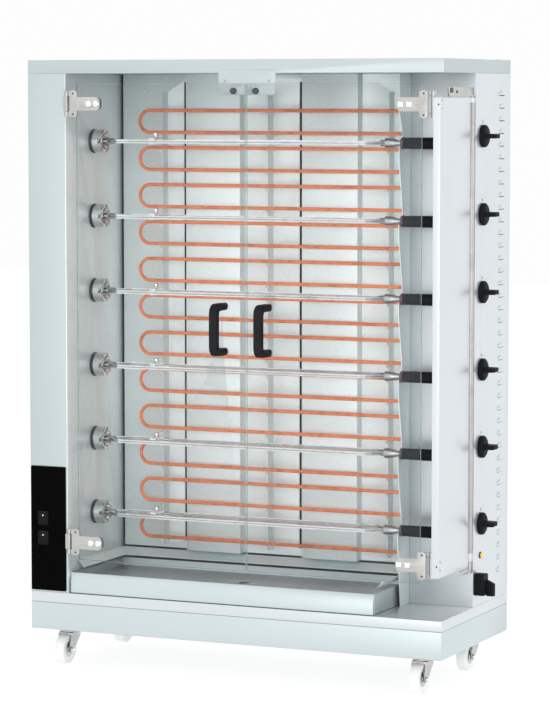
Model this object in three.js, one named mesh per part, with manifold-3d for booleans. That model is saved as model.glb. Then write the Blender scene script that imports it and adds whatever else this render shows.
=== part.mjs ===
// Floor-standing rotisserie oven: six spits over twelve heating elements behind
// glass doors, on a wheeled plinth. Millimetres, +Z up, the front faces -Y.
//
// Every piece is drawn in the cabinet's own frame: X from the middle of the cabinet,
// Y backwards from its front, Z up from the underside of its plinth. The finished
// group is then moved so that its origin is on the floor, under the middle of its box.
import * as THREE from 'three';
import { mergeVertices } from 'three/addons/utils/BufferGeometryUtils.js';
import Module from 'manifold-3d';

const wasm = await Module();
wasm.setup();

// ---- driving dimensions ----------------------------------------------------------
const cabinetWidth = 1130;
const cabinetDepth = 470;
const cabinetHeight = 1457;
const headerHeight = 34;
const plinthHeight = 97;
const plinthSeam = 70;
const casterHeight = 95;
const sheet = 2.5;
const gap = 0.3;

const columnWidth = 107;
const cavityRight = 392;
const cavityBack = 311;
const bayDepth = 218;

const spitCount = 6;
const topSpitHeight = 1251;
const spitPitch = 192.3;
const spitY = 155;
const bladeHalfWidth = 43;
const chuckRadius = 30;
const handleRadius = 15;

const elementY = 271.5;
const elementTube = 4.5;
const hairpinHalf = 28.4;
const elementBend = -355;

const glassThickness = 6;
const glassBack = -8.7;
const glassBottom = 188;
const glassTop = 1398;
const doorGap = 4;
const doorMiddle = 50;
const glassLeft = -420;
const glassRight = 514;
const hingeX = { left: -449, right: 542 };
const hingeY = -8;
const hingeHeights = { top: 1347, bottom: 233 };

const handleReach = 80;
const handleOffset = 60;
const handleMiddle = 792;
const handleLength = 130;
const handleWidth = 22;

const sideDoorBottom = 204;
const sideDoorTop = 1363;
const sideDoorBack = 187;
const postX = 561;
const postY = 204;
const postRadius = 7;
const pinRadius = 4;

const knobReach = 40;
const knobRadius = 28;
const knobY = 270;
const topKnobHeight = 1268;
const knobPitch = 193.2;
const switchReach = 45;
const switchY = 245;
const switchHeight = 153;
const lampHeight = 222;

const trayLeft = -452;
const trayRight = 384;
const trayBack = 300;
const trayTop = 150;
const trayLip = 130;
const gridHeight = 130;

const casterX = 490;
const casterTrail = 28;
const casterY = { front: 70, back: 400 };
const wheelRadius = 38;
const wheelWidth = 28;
const glandReach = 20;
const glandPlace = [380, 440];

const halfWidth = cabinetWidth / 2;
const columnRight = columnWidth - halfWidth;
const headerBottom = cabinetHeight - headerHeight;
const wallBottom = plinthHeight + gap;
const wallTop = headerBottom - gap;
const backSheet = cabinetDepth - sheet;
const glassFront = glassBack - glassThickness;
const spitHeights = steps(spitCount, (n) => topSpitHeight - n * spitPitch);

// ---- finishes --------------------------------------------------------------------
function finish(color, roughness, metalness, extra = {}) {
  return new THREE.MeshStandardMaterial({ color, roughness, metalness, ...extra });
}

const steel = () => finish(0xcfd6d8, 0.35, 1);
const linerSteel = () => finish(0xb9c4c6, 0.4, 1);
const polished = () => finish(0xdfe3e4, 0.12, 1);
const zinc = () => finish(0xc9c6c2, 0.45, 1);
const blackPlastic = () => finish(0x0d0d0e, 0.4, 0);
const whiteNylon = () => finish(0xf2f3f3, 0.55, 0);
const copperOrange = () => finish(0xd9420f, 0.45, 0.6);
const motorGrey = () => finish(0x55595c, 0.6, 0.4);
const glass = () => finish(0xe8f2f1, 0.05, 0, { transparent: true, opacity: 0.2 });
const amber = () => finish(0xf0a91c, 0.3, 0);

// ---- shapes ----------------------------------------------------------------------
function steps(count, value) {
  return Array.from({ length: count }, (_, n) => value(n));
}

// A geometry's triangles as one solid, its shared corners merged.
function solid(geometry) {
  geometry.deleteAttribute('normal');
  geometry.deleteAttribute('uv');
  const merged = mergeVertices(geometry, 1e-4);
  const corners = merged.index.array;
  const kept = [];
  for (let i = 0; i < corners.length; i += 3) {
    const [a, b, c] = corners.slice(i, i + 3);
    if (a !== b && b !== c && c !== a) kept.push(a, b, c);
  }
  const vertProperties = new Float32Array(merged.attributes.position.array);
  const triVerts = new Uint32Array(kept);
  return new wasm.Manifold(new wasm.Mesh({ numProp: 3, vertProperties, triVerts }));
}

function geometryOf(body) {
  const mesh = body.getMesh();
  const positions = new Float32Array(mesh.vertProperties);
  const geometry = new THREE.BufferGeometry();
  geometry.setAttribute('position', new THREE.BufferAttribute(positions, 3));
  geometry.setIndex(new THREE.BufferAttribute(new Uint32Array(mesh.triVerts), 1));
  geometry.computeVertexNormals();
  return geometry;
}

const join = (bodies) => bodies.reduce((whole, body) => whole.add(body));
const cut = (body, tools) => tools.reduce((rest, tool) => rest.subtract(tool), body);

function box([x0, x1], [y0, y1], [z0, z1]) {
  const geometry = new THREE.BoxGeometry(x1 - x0, y1 - y0, z1 - z0);
  geometry.translate((x0 + x1) / 2, (y0 + y1) / 2, (z0 + z1) / 2);
  return solid(geometry);
}

// Turns a shape drawn along +Z so that it runs along the named axis.
function turnTo(axis, geometry) {
  const turn = new THREE.Matrix4();
  if (axis === 'x') turn.set(0, 0, 1, 0, 1, 0, 0, 0, 0, 1, 0, 0, 0, 0, 0, 1);
  if (axis === 'y') turn.set(0, 1, 0, 0, 0, 0, 1, 0, 1, 0, 0, 0, 0, 0, 0, 1);
  return geometry.applyMatrix4(turn);
}

// An outline pushed from one station to another: along x it is drawn in (y, z),
// along y in (z, x) and along z in (x, y).
function slab(axis, outline, [from, to]) {
  const corners = () => outline.map(([u, v]) => new THREE.Vector2(u, v));
  const shape = outline instanceof THREE.Shape ? outline : new THREE.Shape(corners());
  const options = { depth: to - from, bevelEnabled: false, curveSegments: 2 };
  const geometry = new THREE.ExtrudeGeometry(shape, options);
  geometry.translate(0, 0, from);
  return solid(turnTo(axis, geometry));
}

function rod(axis, radius, [from, to], [u, v], sides = 12) {
  return turned(axis, [[0, from], [radius, from], [radius, to], [0, to]], [u, v], sides);
}

// A profile of (radius, station) pairs turned round an axis that passes through (u, v).
function turned(axis, profile, [u, v], sides = 14) {
  const points = profile.map(([radius, station]) => new THREE.Vector2(radius, station));
  const geometry = new THREE.LatheGeometry(points, sides);
  geometry.rotateX(Math.PI / 2);
  geometry.translate(u, v, 0);
  return solid(turnTo(axis, geometry));
}

function roundedRectangle([u0, u1], [v0, v1], radius) {
  const shape = new THREE.Shape();
  shape.moveTo(u0 + radius, v0);
  shape.lineTo(u1 - radius, v0);
  shape.absarc(u1 - radius, v0 + radius, radius, -Math.PI / 2, 0);
  shape.lineTo(u1, v1 - radius);
  shape.absarc(u1 - radius, v1 - radius, radius, 0, Math.PI / 2);
  shape.lineTo(u0 + radius, v1);
  shape.absarc(u0 + radius, v1 - radius, radius, Math.PI / 2, Math.PI);
  shape.lineTo(u0, v0 + radius);
  shape.absarc(u0 + radius, v0 + radius, radius, Math.PI, 1.5 * Math.PI);
  return shape;
}

const oven = new THREE.Group();

function add(name, body, material) {
  const mesh = new THREE.Mesh(geometryOf(body), material);
  mesh.name = name;
  oven.add(mesh);
}

// ---- cabinet ---------------------------------------------------------------------
function basePlinth() {
  const wall = 3;
  const outer = box([-halfWidth, halfWidth], [0, cabinetDepth], [0, plinthSeam - gap]);
  const inside = box(
    [wall - halfWidth, halfWidth - wall],
    [wall, cabinetDepth - wall],
    [wall, plinthSeam]
  );
  const cableHole = rod('z', 7, [-1, wall + 1], glandPlace);
  return cut(outer, [inside, cableHole]);
}

function baseDeck() {
  const outer = box([-halfWidth, halfWidth], [0, cabinetDepth], [plinthSeam, plinthHeight]);
  const inside = box(
    [sheet - halfWidth, halfWidth - sheet],
    [sheet, cabinetDepth - sheet],
    [plinthSeam - 1, plinthHeight - sheet]
  );
  return cut(outer, [inside]);
}

function topCover() {
  const outer = box([-halfWidth, halfWidth], [0, cabinetDepth], [headerBottom, cabinetHeight]);
  const inside = box(
    [sheet - halfWidth, halfWidth - sheet],
    [sheet, cabinetDepth - sheet],
    [headerBottom + sheet, cabinetHeight - sheet]
  );
  const ventSlot = box(
    [-300, 300],
    [cabinetDepth - 10, cabinetDepth + 1],
    [headerBottom + 10, cabinetHeight - 10]
  );
  return join([cut(outer, [inside, ventSlot]), doorCatch()]);
}

// The plate that hangs from the cover's front, with the doors' two magnets.
function doorCatch() {
  const plate = slab('y', roundedRectangle([1369, headerBottom + 8], [-30, 125], 8), [-1.5, 1]);
  const magnets = [12.3, 72.3].map((x) => rod('y', 8, [-8, -1], [1379, x]));
  return join([plate, ...magnets]);
}

function shaftHoles(station) {
  return spitHeights.map((height) => rod('x', 12, station, [spitY, height]));
}

// The left column is a sheet channel, open at the back, that holds the spit drive.
function leftColumn() {
  const right = columnRight - sheet;
  const outer = box([-halfWidth, right], [0, backSheet - gap], [wallBottom, wallTop]);
  const inside = box(
    [sheet - halfWidth, right - sheet],
    [sheet, cabinetDepth],
    [wallBottom + sheet, wallTop - sheet]
  );
  return cut(outer, [inside, ...shaftHoles([right - 2 * sheet, right + sheet])]);
}

// A hinge's fixed half: a strap on the wall and a barrel with its pin, drawn for a
// wall to the left of the hinge line, and mirrored for one to the right.
function hingeBracket(wallX, pinX, height) {
  const side = Math.sign(pinX - wallX);
  const reach = [height - 19, height + 19];
  const strap = box(order(wallX - side * 0.5, wallX + side * 3), [hingeY - 4, 26], reach);
  const arm = box(order(wallX, pinX), [hingeY - 4, hingeY + 4], reach);
  const barrel = rod('z', 6, reach, [pinX, hingeY]);
  const pin = rod('z', 3, [height - 32, height + 32], [pinX, hingeY], 8);
  return join([strap, arm, barrel, pin]);
}

function order(a, b) {
  return [Math.min(a, b), Math.max(a, b)];
}

function leftLiner() {
  const right = columnRight;
  const left = columnRight - sheet + gap;
  const wall = box([left, right], [gap, cavityBack - gap], [wallBottom, wallTop]);
  const holed = cut(wall, shaftHoles([left - 1, right + 1]));
  const heights = Object.values(hingeHeights);
  const brackets = heights.map((height) => hingeBracket(right, hingeX.left, height));
  return join([holed, ...brackets]);
}

// One comb-edged rail that carries the elements: a ledge under each straight leg.
function elementRail(x) {
  const front = 277;
  const ledge = 266;
  const outline = [[cavityBack + 1, 196], [front, 196]];
  for (const leg of elementLegs().reverse()) {
    const top = leg - elementTube - gap;
    outline.push([front, top - 4], [ledge, top - 4], [ledge, top], [front, top]);
  }
  outline.push([front, 1376], [cavityBack + 1, 1376]);
  return slab('x', outline, [x - 1, x + 1]);
}

// The rear wall with its two raised reflector channels, its air slots and its rails.
function rearLiner() {
  const bottom = 182;
  const channelFront = 280;
  const channelWidth = 153.5;
  const cornerSlot = 6;
  const channelSlot = 20;
  const wall = box(
    [columnRight + cornerSlot, cavityRight - gap],
    [cavityBack, cavityBack + sheet],
    [bottom, wallTop]
  );
  const channels = [-101.5, 226].map((right) => ({ right, left: right - channelWidth }));
  const raised = channels.map(({ left, right }) => box(
    [left, right],
    [channelFront, cavityBack + 1],
    [bottom, wallTop]
  ));
  const hollows = channels.map(({ left, right }) => box(
    [left + sheet, right - sheet],
    [channelFront + sheet, cavityBack + 2 * sheet],
    [bottom + sheet, wallTop - sheet]
  ));
  const slots = channels.map(({ left }) => box(
    [left - channelSlot, left],
    [cavityBack - 1, cavityBack + 2 * sheet],
    [bottom + 20, wallTop - 20]
  ));
  const shell = cut(join([wall, ...raised]), [...hollows, ...slots]);
  const rails = [-322, -22, 312].map(elementRail);
  return join([shell, ...rails]);
}

// The right wall's front edge is a row of hooks: each spit's neck lies on a level
// seat, and the edge between two seats slopes back so that the neck rolls into place.
function rightLiner() {
  const nose = 142;
  const seatBack = spitY + 8.5;
  const slopeBack = 168;
  const outline = [[cavityBack - gap, wallBottom], [160, wallBottom]];
  for (const height of [...spitHeights].reverse()) {
    const seat = height - 8.4;
    outline.push([nose, seat - 34], [nose, seat], [seatBack, seat]);
    outline.push([seatBack, seat + 14], [slopeBack, seat + 20]);
  }
  outline.push([nose, topSpitHeight + 78], [nose, wallTop], [cavityBack - gap, wallTop]);
  return slab('x', outline, [cavityRight, cavityRight + sheet]);
}

function knobStations() {
  return steps(spitCount, (n) => topKnobHeight - n * knobPitch);
}

// The right-hand housing: the back wall of the handle bay and the side wall that
// carries the knobs, bent from one sheet.
function controlHousing() {
  const left = cavityRight + sheet + gap;
  const outline = [
    [left, bayDepth], [halfWidth, bayDepth],
    [halfWidth, backSheet - gap], [halfWidth - sheet, backSheet - gap],
    [halfWidth - sheet, bayDepth + sheet], [left, bayDepth + sheet],
  ];
  const walls = slab('z', outline, [wallBottom, wallTop]);
  const through = [halfWidth - 2 * sheet, halfWidth + 1];
  const knobHoles = knobStations().map((height) => rod('x', 5, through, [knobY, height], 8));
  const lampHole = rod('x', 5, through, [knobY, lampHeight], 12);
  const switchHole = rod('x', 8, through, [switchY, switchHeight], 12);
  return cut(walls, [...knobHoles, lampHole, switchHole]);
}

function rearCover() {
  return box([-halfWidth, halfWidth], [backSheet, cabinetDepth], [wallBottom, wallTop]);
}

// ---- heating ---------------------------------------------------------------------
function hairpinHeights() {
  return steps(2 * spitCount, (n) => topSpitHeight + 50 - (n * spitPitch) / 2);
}

function elementLegs() {
  return hairpinHeights().flatMap((height) => [height + hairpinHalf, height - hairpinHalf]);
}

function hairpin(height, legEnd) {
  const bend = new THREE.TorusGeometry(hairpinHalf, elementTube, 8, 16);
  bend.rotateX(Math.PI / 2);
  bend.translate(elementBend, elementY, height);
  const halfBend = solid(bend).intersect(box(
    [elementBend - 50, elementBend],
    [elementY - 20, elementY + 20],
    [height - 50, height + 50]
  ));
  const legs = [-hairpinHalf, hairpinHalf].map((rise) => {
    const leg = new THREE.CylinderGeometry(elementTube, elementTube, legEnd - elementBend, 8);
    leg.rotateZ(Math.PI / 2);
    leg.translate((elementBend + legEnd) / 2, elementY, height + rise);
    return solid(leg);
  });
  return join([halfBend, ...legs]);
}

// Six hairpins whose ends are held by one terminal strip on the right wall.
function elementBank(bank) {
  const perBank = 6;
  const heights = hairpinHeights().slice(bank * perBank, (bank + 1) * perBank);
  const strip = box(
    [cavityRight - gap - 3, cavityRight - gap],
    [elementY - 11, elementY + 11],
    [heights[perBank - 1] - hairpinHalf - 9, heights[0] + hairpinHalf + 9]
  );
  return join([strip, ...heights.map((height) => hairpin(height, cavityRight - 2))]);
}

// ---- spit drive ------------------------------------------------------------------
const wallFace = columnRight;
const chuckMouth = wallFace + 34;

function driveChuck(height) {
  const profile = [
    [0, wallFace - 62], [28, wallFace - 62], [28, wallFace - 56], [8, wallFace - 56], [8, wallFace + 2],
    [24, wallFace + 2], [chuckRadius, wallFace + 5], [chuckRadius, chuckMouth], [21, chuckMouth],
    [21, wallFace + 20], [0, wallFace + 20],
  ];
  const drum = turned('x', profile, [spitY, height], 16);
  const slotReach = [chuckMouth - 9, chuckMouth + 1];
  const slots = [
    box(slotReach, [spitY - 40, spitY + 40], [height - 6, height + 6]),
    box(slotReach, [spitY - 6, spitY + 6], [height - 40, height + 40]),
  ];
  return cut(drum, slots);
}

function driveChain() {
  const inner = 31;
  const outer = 35.5;
  const [top, bottom] = [spitHeights[0], spitHeights[spitCount - 1]];
  const loop = (radius) => {
    const shape = new THREE.Shape();
    shape.absarc(spitY, top, radius, 0, Math.PI);
    shape.absarc(spitY, bottom, radius, Math.PI, 2 * Math.PI);
    return shape;
  };
  return slab('x', loop(outer), [wallFace - 61, wallFace - 57])
    .subtract(slab('x', loop(inner), [wallFace - 62, wallFace - 56]));
}

function driveMotor() {
  const height = spitHeights[spitCount - 1];
  const x = [1 - halfWidth + sheet, wallFace - 64];
  const gearbox = slab('x', roundedRectangle([spitY - 40, spitY + 60], [height - 45, height + 45], 12), x);
  const can = rod('y', 18, [spitY + 50, spitY + 170], [height, (x[0] + x[1]) / 2], 20);
  return join([gearbox, can]);
}

// ---- spits -----------------------------------------------------------------------
function bladeOutline(inset) {
  const half = bladeHalfWidth - inset;
  const tail = 10 - inset;
  return [
    [-416 + inset, -tail], [-372, -half], [316, -half], [356 - inset, -tail],
    [356 - inset, tail], [316, half], [-372, half], [-416 + inset, tail],
  ].map(([x, y]) => [x, spitY + y]);
}

// A folded blade with its edges turned down, a round drive end on the left, and on
// the right a cone, the neck that lies in the seat, a collar and the handle.
function spit(height) {
  const blade = cut(slab('z', bladeOutline(0), [height - 4.5, height + 4.5]), [
    slab('z', bladeOutline(2), [height - 5, height + 2]),
  ]);
  const driveEnd = rod('x', 8, [wallFace + 26.5, -398], [spitY, height]);
  const grip = turned('x', [
    [0, 340], [8, 340], [8, 352], [13, 356], [11, 376], [7.5, 386], [7.5, 397],
    [handleRadius, 397.5], [handleRadius, 403], [13.5, 404], [handleRadius, 512], [11, 517], [0, 517],
  ], [spitY, height]);
  return join([blade, driveEnd, grip]);
}

// ---- controls --------------------------------------------------------------------
const panelFace = halfWidth;

// A knob is a round skirt with a level blade across it that narrows to its end.
function knob(height) {
  const skirt = turned('x', [
    [0, panelFace - 14], [4, panelFace - 14], [4, panelFace + 0.5], [knobRadius, panelFace + 0.5],
    [knobRadius, panelFace + 8], [knobRadius - 5, panelFace + 12], [0, panelFace + 12],
  ], [knobY, height], 16);
  const end = panelFace + knobReach;
  const blade = [
    [panelFace + 6, -25], [end - 3, -20], [end, -17], [end, 17], [end - 3, 20], [panelFace + 6, 25],
  ].map(([x, y]) => [x, knobY + y]);
  return join([skirt, slab('z', blade, [height - 5.5, height + 5.5])]);
}

// The main switch's fixed housing, a rounded block that its grip turns on.
const switchBlock = 26;

function switchBase() {
  const face = roundedRectangle([switchY - 23, switchY + 13], [switchHeight - 27, switchHeight + 28], 7);
  const block = slab('x', face, [panelFace + gap, panelFace + switchBlock]);
  return cut(block, [rod('x', 8, [panelFace, panelFace + switchBlock + 1], [switchY, switchHeight])]);
}

function mainSwitch() {
  const stem = rod('x', 7, [panelFace - 30, panelFace + switchBlock + 6], [switchY, switchHeight]);
  const root = panelFace + switchBlock + gap;
  const end = panelFace + switchReach;
  const grip = [
    [switchHeight - 29, root], [switchHeight - 29, end], [switchHeight + 2, end],
    [switchHeight + 10, root + 2], [switchHeight + 10, root],
  ];
  return join([stem, slab('y', grip, [switchY - 2, switchY + 12])]);
}

function pilotLamp() {
  return turned('x', [
    [0, panelFace - 20], [4.5, panelFace - 20], [4.5, panelFace + 0.4], [6.5, panelFace + 0.4],
    [6.5, panelFace + 2.5], [4, panelFace + 5], [0, panelFace + 5.5],
  ], [knobY, lampHeight]);
}

const rockers = { upper: 288, lower: 237 };
const rockerX = -528;

function controlPanel() {
  const plate = slab('y', roundedRectangle([101, 422], [-563, -462.7], 3), [-2.5, -gap]);
  const windows = Object.values(rockers).map((z) => box(
    [rockerX - 13, rockerX + 13],
    [-4, 1],
    [z - 16, z + 16]
  ));
  return cut(plate, windows);
}

// A rocker is a shallow wedge that tips about a pin across its middle.
function rocker(height) {
  const outline = [
    [-1.2, height - 15], [-1.2, height + 15], [-5, height + 15], [-3, height], [-6.5, height - 15],
  ];
  return slab('x', outline, [rockerX - 12, rockerX + 12]);
}

// ---- doors -----------------------------------------------------------------------
const boltReach = { left: [-382, -361], right: [461, 483] };
const handleX = { left: doorMiddle - handleOffset, right: doorMiddle + handleOffset };
const handleFeet = [handleMiddle - handleLength / 2 + 9, handleMiddle + handleLength / 2 - 9];

function doorGlass(side) {
  const seam = { left: doorMiddle - doorGap / 2, right: doorMiddle + doorGap / 2 };
  const edges = side === 'left' ? [glassLeft, seam.left] : [seam.right, glassRight];
  const pane = slab('y', roundedRectangle([glassBottom, glassTop], edges, 5), [glassFront, glassBack]);
  const through = [glassFront - 1, glassBack + 1];
  const hingeHoles = Object.values(hingeHeights).flatMap(
    (z) => boltReach[side].map((x) => rod('y', 5, through, [z, x], 8))
  );
  const handleHoles = handleFeet.map((z) => rod('y', 4, through, [z, handleX[side]], 8));
  return cut(pane, [...hingeHoles, ...handleHoles]);
}

// A hinge's moving half: a rounded tongue clamped through the glass by two bolts, and
// two rings that turn on the pin above and below the fixed barrel. The rings' arms run
// sideways before they bend forward, which keeps them clear of the side door's edge.
function hingeLeaf(side, height) {
  const pinX = hingeX[side];
  const inward = side === 'left' ? 1 : -1;
  const bolts = boltReach[side];
  const tip = inward > 0 ? Math.max(...bolts) + 10 : Math.min(...bolts) - 10;
  const front = [glassFront - gap - 3, glassFront - gap];
  const back = [glassBack + gap, glassBack + gap + 2.5];
  const plate = (halfHeight, reach, radius, station) => (
    slab('y', roundedRectangle([height - halfHeight, height + halfHeight], order(...reach), radius), station)
  );
  const tongue = plate(17, [pinX + inward * 12, tip], 12, front);
  const lobes = plate(34, [pinX + inward * 12, pinX + inward * 34], 9, front);
  const clamp = plate(15, [Math.min(...bolts) - 9, Math.max(...bolts) + 9], 10, back);
  const shanks = bolts.map((x) => rod('y', 4.5, [front[0] - 2.5, back[1] + 1], [height, x], 8));
  const rings = [[height - 32, height - 19.5], [height + 19.5, height + 32]].map((reach) => {
    const web = box(order(pinX, pinX + inward * 18), [hingeY - 2.5, hingeY + 2.5], reach);
    const bend = box(order(pinX + inward * 12.5, pinX + inward * 18), [front[0], hingeY], reach);
    const ring = join([rod('z', 6, reach, [pinX, hingeY]), web, bend]);
    return cut(ring, [rod('z', 3.4, [reach[0] - 1, reach[1] + 1], [pinX, hingeY], 8)]);
  });
  return join([tongue, lobes, clamp, ...shanks, ...rings]);
}

// A bow handle: two feet and a grip bent from one thick bar, bolted through the glass.
function doorHandle(side) {
  const x = handleX[side];
  const [low, high] = [handleMiddle - handleLength / 2, handleMiddle + handleLength / 2];
  const foot = glassFront - gap;
  const width = [x - handleWidth / 2, x + handleWidth / 2];
  const outer = slab('x', roundedRectangle([-handleReach, foot + 24], [low, high], 22), width);
  const window = roundedRectangle([18 - handleReach, foot + 40], [low + 18, high - 18], 10);
  const behind = box([x - 20, x + 20], [foot, foot + 50], [low - 1, high + 1]);
  const studs = handleFeet.map((z) => join([
    rod('y', 3.5, [foot - 2, glassBack + 2], [z, x], 8),
    rod('y', 8, [glassBack + gap, glassBack + 3], [z, x], 12),
  ]));
  return join([cut(outer, [slab('x', window, [x - 20, x + 20]), behind]), ...studs]);
}

// The side door closes the handle bay's right side and carries the right glass door.
// Two rings on its rear edge turn on the pins at the ends of the post.
const postEnds = { bottom: 237, top: 1350 };
const ringReach = { bottom: [217, postEnds.bottom - gap], top: [postEnds.top + gap, sideDoorTop] };

function sideDoor() {
  const face = halfWidth - 2;
  const front = -18;
  const outline = [
    [face, front], [face, sideDoorBack], [face - sheet, sideDoorBack], [face - sheet, front + sheet],
    [face - 18, front + sheet], [face - 18, front],
  ];
  const skin = slab('z', outline, [sideDoorBottom, sideDoorTop]);
  const rings = Object.values(ringReach).map((reach) => {
    const strap = box([face - sheet, face], [sideDoorBack - 1, postY], reach);
    const ring = join([strap, rod('z', pinRadius + 3.5, reach, [postX, postY])]);
    return cut(ring, [rod('z', pinRadius + gap, [reach[0] - 1, reach[1] + 1], [postX, postY])]);
  });
  const brackets = Object.values(hingeHeights).map((height) => join([
    box([hingeX.right - 1, face - 1], [hingeY - 4, hingeY + 4], [height - 19, height + 19]),
    rod('z', 6, [height - 19, height + 19], [hingeX.right, hingeY]),
    rod('z', 3, [height - 32, height + 32], [hingeX.right, hingeY], 8),
  ]));
  return join([skin, ...rings, ...brackets]);
}

// The fixed post that the side door turns on: a tube with a pin at each end, held by a
// bar above and a foot below that run forward from the bay's back wall.
function sideDoorPost() {
  const place = [postX, postY];
  const low = sideDoorBottom - 18;
  const high = sideDoorTop + 3;
  const bayBack = bayDepth - gap;
  const tube = rod('z', postRadius, [postEnds.bottom, postEnds.top], place);
  const pin = rod('z', pinRadius, [low, high + 3], place);
  const bar = box([postX - 5, postX - 1], [51, bayBack], [high, high + 22]);
  const foot = box([postX - 5, postX - 1], [150, bayBack], [low, low + 12]);
  const seats = [[high, high + 3], [low, low + 4]].map((reach) => box(
    [postX - 10, halfWidth - 0.5],
    [postY - 9, bayBack],
    reach
  ));
  const tie = box([postX - 16, postX - 4], [postY - 4, bayBack], [postEnds.bottom, postEnds.top]);
  return join([tube, pin, bar, foot, tie, ...seats]);
}

// ---- dripping --------------------------------------------------------------------
const trayFront = 4;
const trayFloor = plinthHeight + 1.5;

// An open tray drawn out from under the doors.
function dripTray() {
  const outer = box([trayLeft, trayRight], [trayFront + 11 + gap, trayBack], [trayFloor, trayTop]);
  const inside = box(
    [trayLeft + 2, trayRight - 2],
    [trayFront + 13 + gap, trayBack - 2],
    [trayFloor + 2, trayTop + 1]
  );
  return cut(outer, [inside]);
}

// The tray's front plate leans back above the lip line and reaches past it on the left.
function dripTrayFront() {
  const back = trayFront + 11;
  const fascia = slab(
    'x',
    [[trayFront, trayFloor], [back, trayFloor], [back, trayTop], [back - 2, trayTop], [trayFront, trayLip]],
    [trayLeft, trayRight]
  );
  const lip = box([columnRight + 1, trayLeft + 1], [back - 2, back], [trayTop - 18, trayTop]);
  return join([fascia, lip]);
}

// The perforated grid stands on its own turned-down ends inside the tray.
function dripGrid() {
  const [left, right] = [trayLeft + 3, trayRight - 3];
  const depth = [19, trayBack - 3];
  const floor = plinthHeight + 3.5 + gap;
  const bent = [
    [floor, left], [gridHeight, left], [gridHeight, right], [floor, right],
    [floor, right - 2], [gridHeight - 2, right - 2], [gridHeight - 2, left + 2], [floor, left + 2],
  ];
  const middle = [(trayLeft + trayRight) / 2, (depth[0] + depth[1]) / 2];
  const fingerHole = rod('z', 15, [gridHeight - 4, gridHeight + 2], middle, 16);
  return cut(slab('y', bent, depth), [fingerHole]);
}

// Sloping skirts on three walls lead the dripping into the tray; open at the front.
function dripFunnel() {
  const inner = (lift) => frustum(
    { x: [columnRight + gap, cavityRight - gap], y: [-40, cavityBack - gap], z: 177 + lift },
    { x: [columnRight + 18, cavityRight - 18], y: [-40, cavityBack - 22], z: 157 + lift }
  );
  const front = box([-600, 600], [-60, 54], [100, 300]);
  const mouth = box([columnRight + 19, cavityRight - 19], [-60, cavityBack - 23], [150, 170]);
  return cut(inner(0), [inner(2), mouth, front]);
}

// A block whose top and bottom are rectangles of different size.
function frustum(top, bottom) {
  const corner = ({ x, y, z }) => [[x[0], y[0], z], [x[1], y[0], z], [x[1], y[1], z], [x[0], y[1], z]];
  const positions = [...corner(bottom), ...corner(top)].flat();
  const faces = [
    0, 2, 1, 0, 3, 2, 4, 5, 6, 4, 6, 7, 0, 1, 5, 0, 5, 4,
    1, 2, 6, 1, 6, 5, 2, 3, 7, 2, 7, 6, 3, 0, 4, 3, 4, 7,
  ];
  const geometry = new THREE.BufferGeometry();
  geometry.setAttribute('position', new THREE.Float32BufferAttribute(positions, 3));
  geometry.setIndex(faces);
  return solid(geometry);
}

// ---- casters ---------------------------------------------------------------------
const axleHeight = wheelRadius - casterHeight;

// The fork turns under the plinth; its legs lean forward to the trailing axle.
function casterFork(x, y) {
  const axleY = y - casterTrail;
  const legOutline = [
    [y - 26, -16], [y + 20, -16], [y + 20, -24], [axleY + 9, axleHeight - 8],
    [axleY - 7, axleHeight - 8], [axleY - 9, axleHeight + 4],
  ];
  const collar = rod('z', 20, [-16, -gap], [x, y], 20);
  const crown = box([x - 20, x + 20], [y - 26, y + 20], [-18, -14]);
  const legs = [[x - 20, x - 17], [x + 17, x + 20]].map((reach) => slab('x', legOutline, reach));
  const axle = rod('x', 4, [x - 23, x + 23], [axleY, axleHeight], 12);
  return join([collar, crown, ...legs, axle]);
}

function casterWheel(x, y) {
  const half = wheelWidth / 2;
  const profile = [
    [4.4, x - half + 1], [wheelRadius - 4, x - half], [wheelRadius, x - half + 6],
    [wheelRadius, x + half - 6], [wheelRadius - 4, x + half], [4.4, x + half - 1], [4.4, x - half + 1],
  ];
  return turned('x', profile, [y - casterTrail, axleHeight], 24);
}

// The gland through which the supply cable enters, under the back of the plinth.
function cableGland() {
  const end = -glandReach;
  const profile = [
    [7, end], [10, end], [12, end + 3], [12, -9], [16, -8], [16, -gap], [7, -gap], [7, end],
  ];
  return turned('z', profile, glandPlace, 12);
}

// ---- the oven --------------------------------------------------------------------
add('base_plinth', basePlinth(), steel());
add('base_deck', baseDeck(), steel());
add('top_cover', topCover(), steel());
add('left_column', leftColumn(), steel());
add('left_liner', leftLiner(), linerSteel());
add('rear_liner', rearLiner(), linerSteel());
add('right_liner', rightLiner(), linerSteel());
add('control_housing', controlHousing(), steel());
add('rear_cover', rearCover(), steel());
add('cable_gland', cableGland(), blackPlastic());

['upper', 'lower'].forEach((place, bank) => add(`element_bank_${place}`, elementBank(bank), copperOrange()));

spitHeights.forEach((height, n) => {
  add(`drive_chuck_${n + 1}`, driveChuck(height), polished());
  add(`spit_${n + 1}`, spit(height), polished());
});
add('drive_chain', driveChain(), motorGrey());
add('drive_motor', driveMotor(), motorGrey());

knobStations().forEach((height, n) => add(`knob_${n + 1}`, knob(height), blackPlastic()));
add('switch_base', switchBase(), blackPlastic());
add('main_switch', mainSwitch(), blackPlastic());
add('pilot_lamp', pilotLamp(), amber());
add('control_panel', controlPanel(), blackPlastic());
for (const [place, height] of Object.entries(rockers)) {
  add(`rocker_${place}`, rocker(height), blackPlastic());
}

for (const side of ['left', 'right']) {
  add(`door_glass_${side}`, doorGlass(side), glass());
  add(`door_handle_${side}`, doorHandle(side), blackPlastic());
  for (const [place, height] of Object.entries(hingeHeights)) {
    add(`hinge_${side}_${place}`, hingeLeaf(side, height), zinc());
  }
}
add('side_door', sideDoor(), steel());
add('side_door_post', sideDoorPost(), motorGrey());

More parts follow.
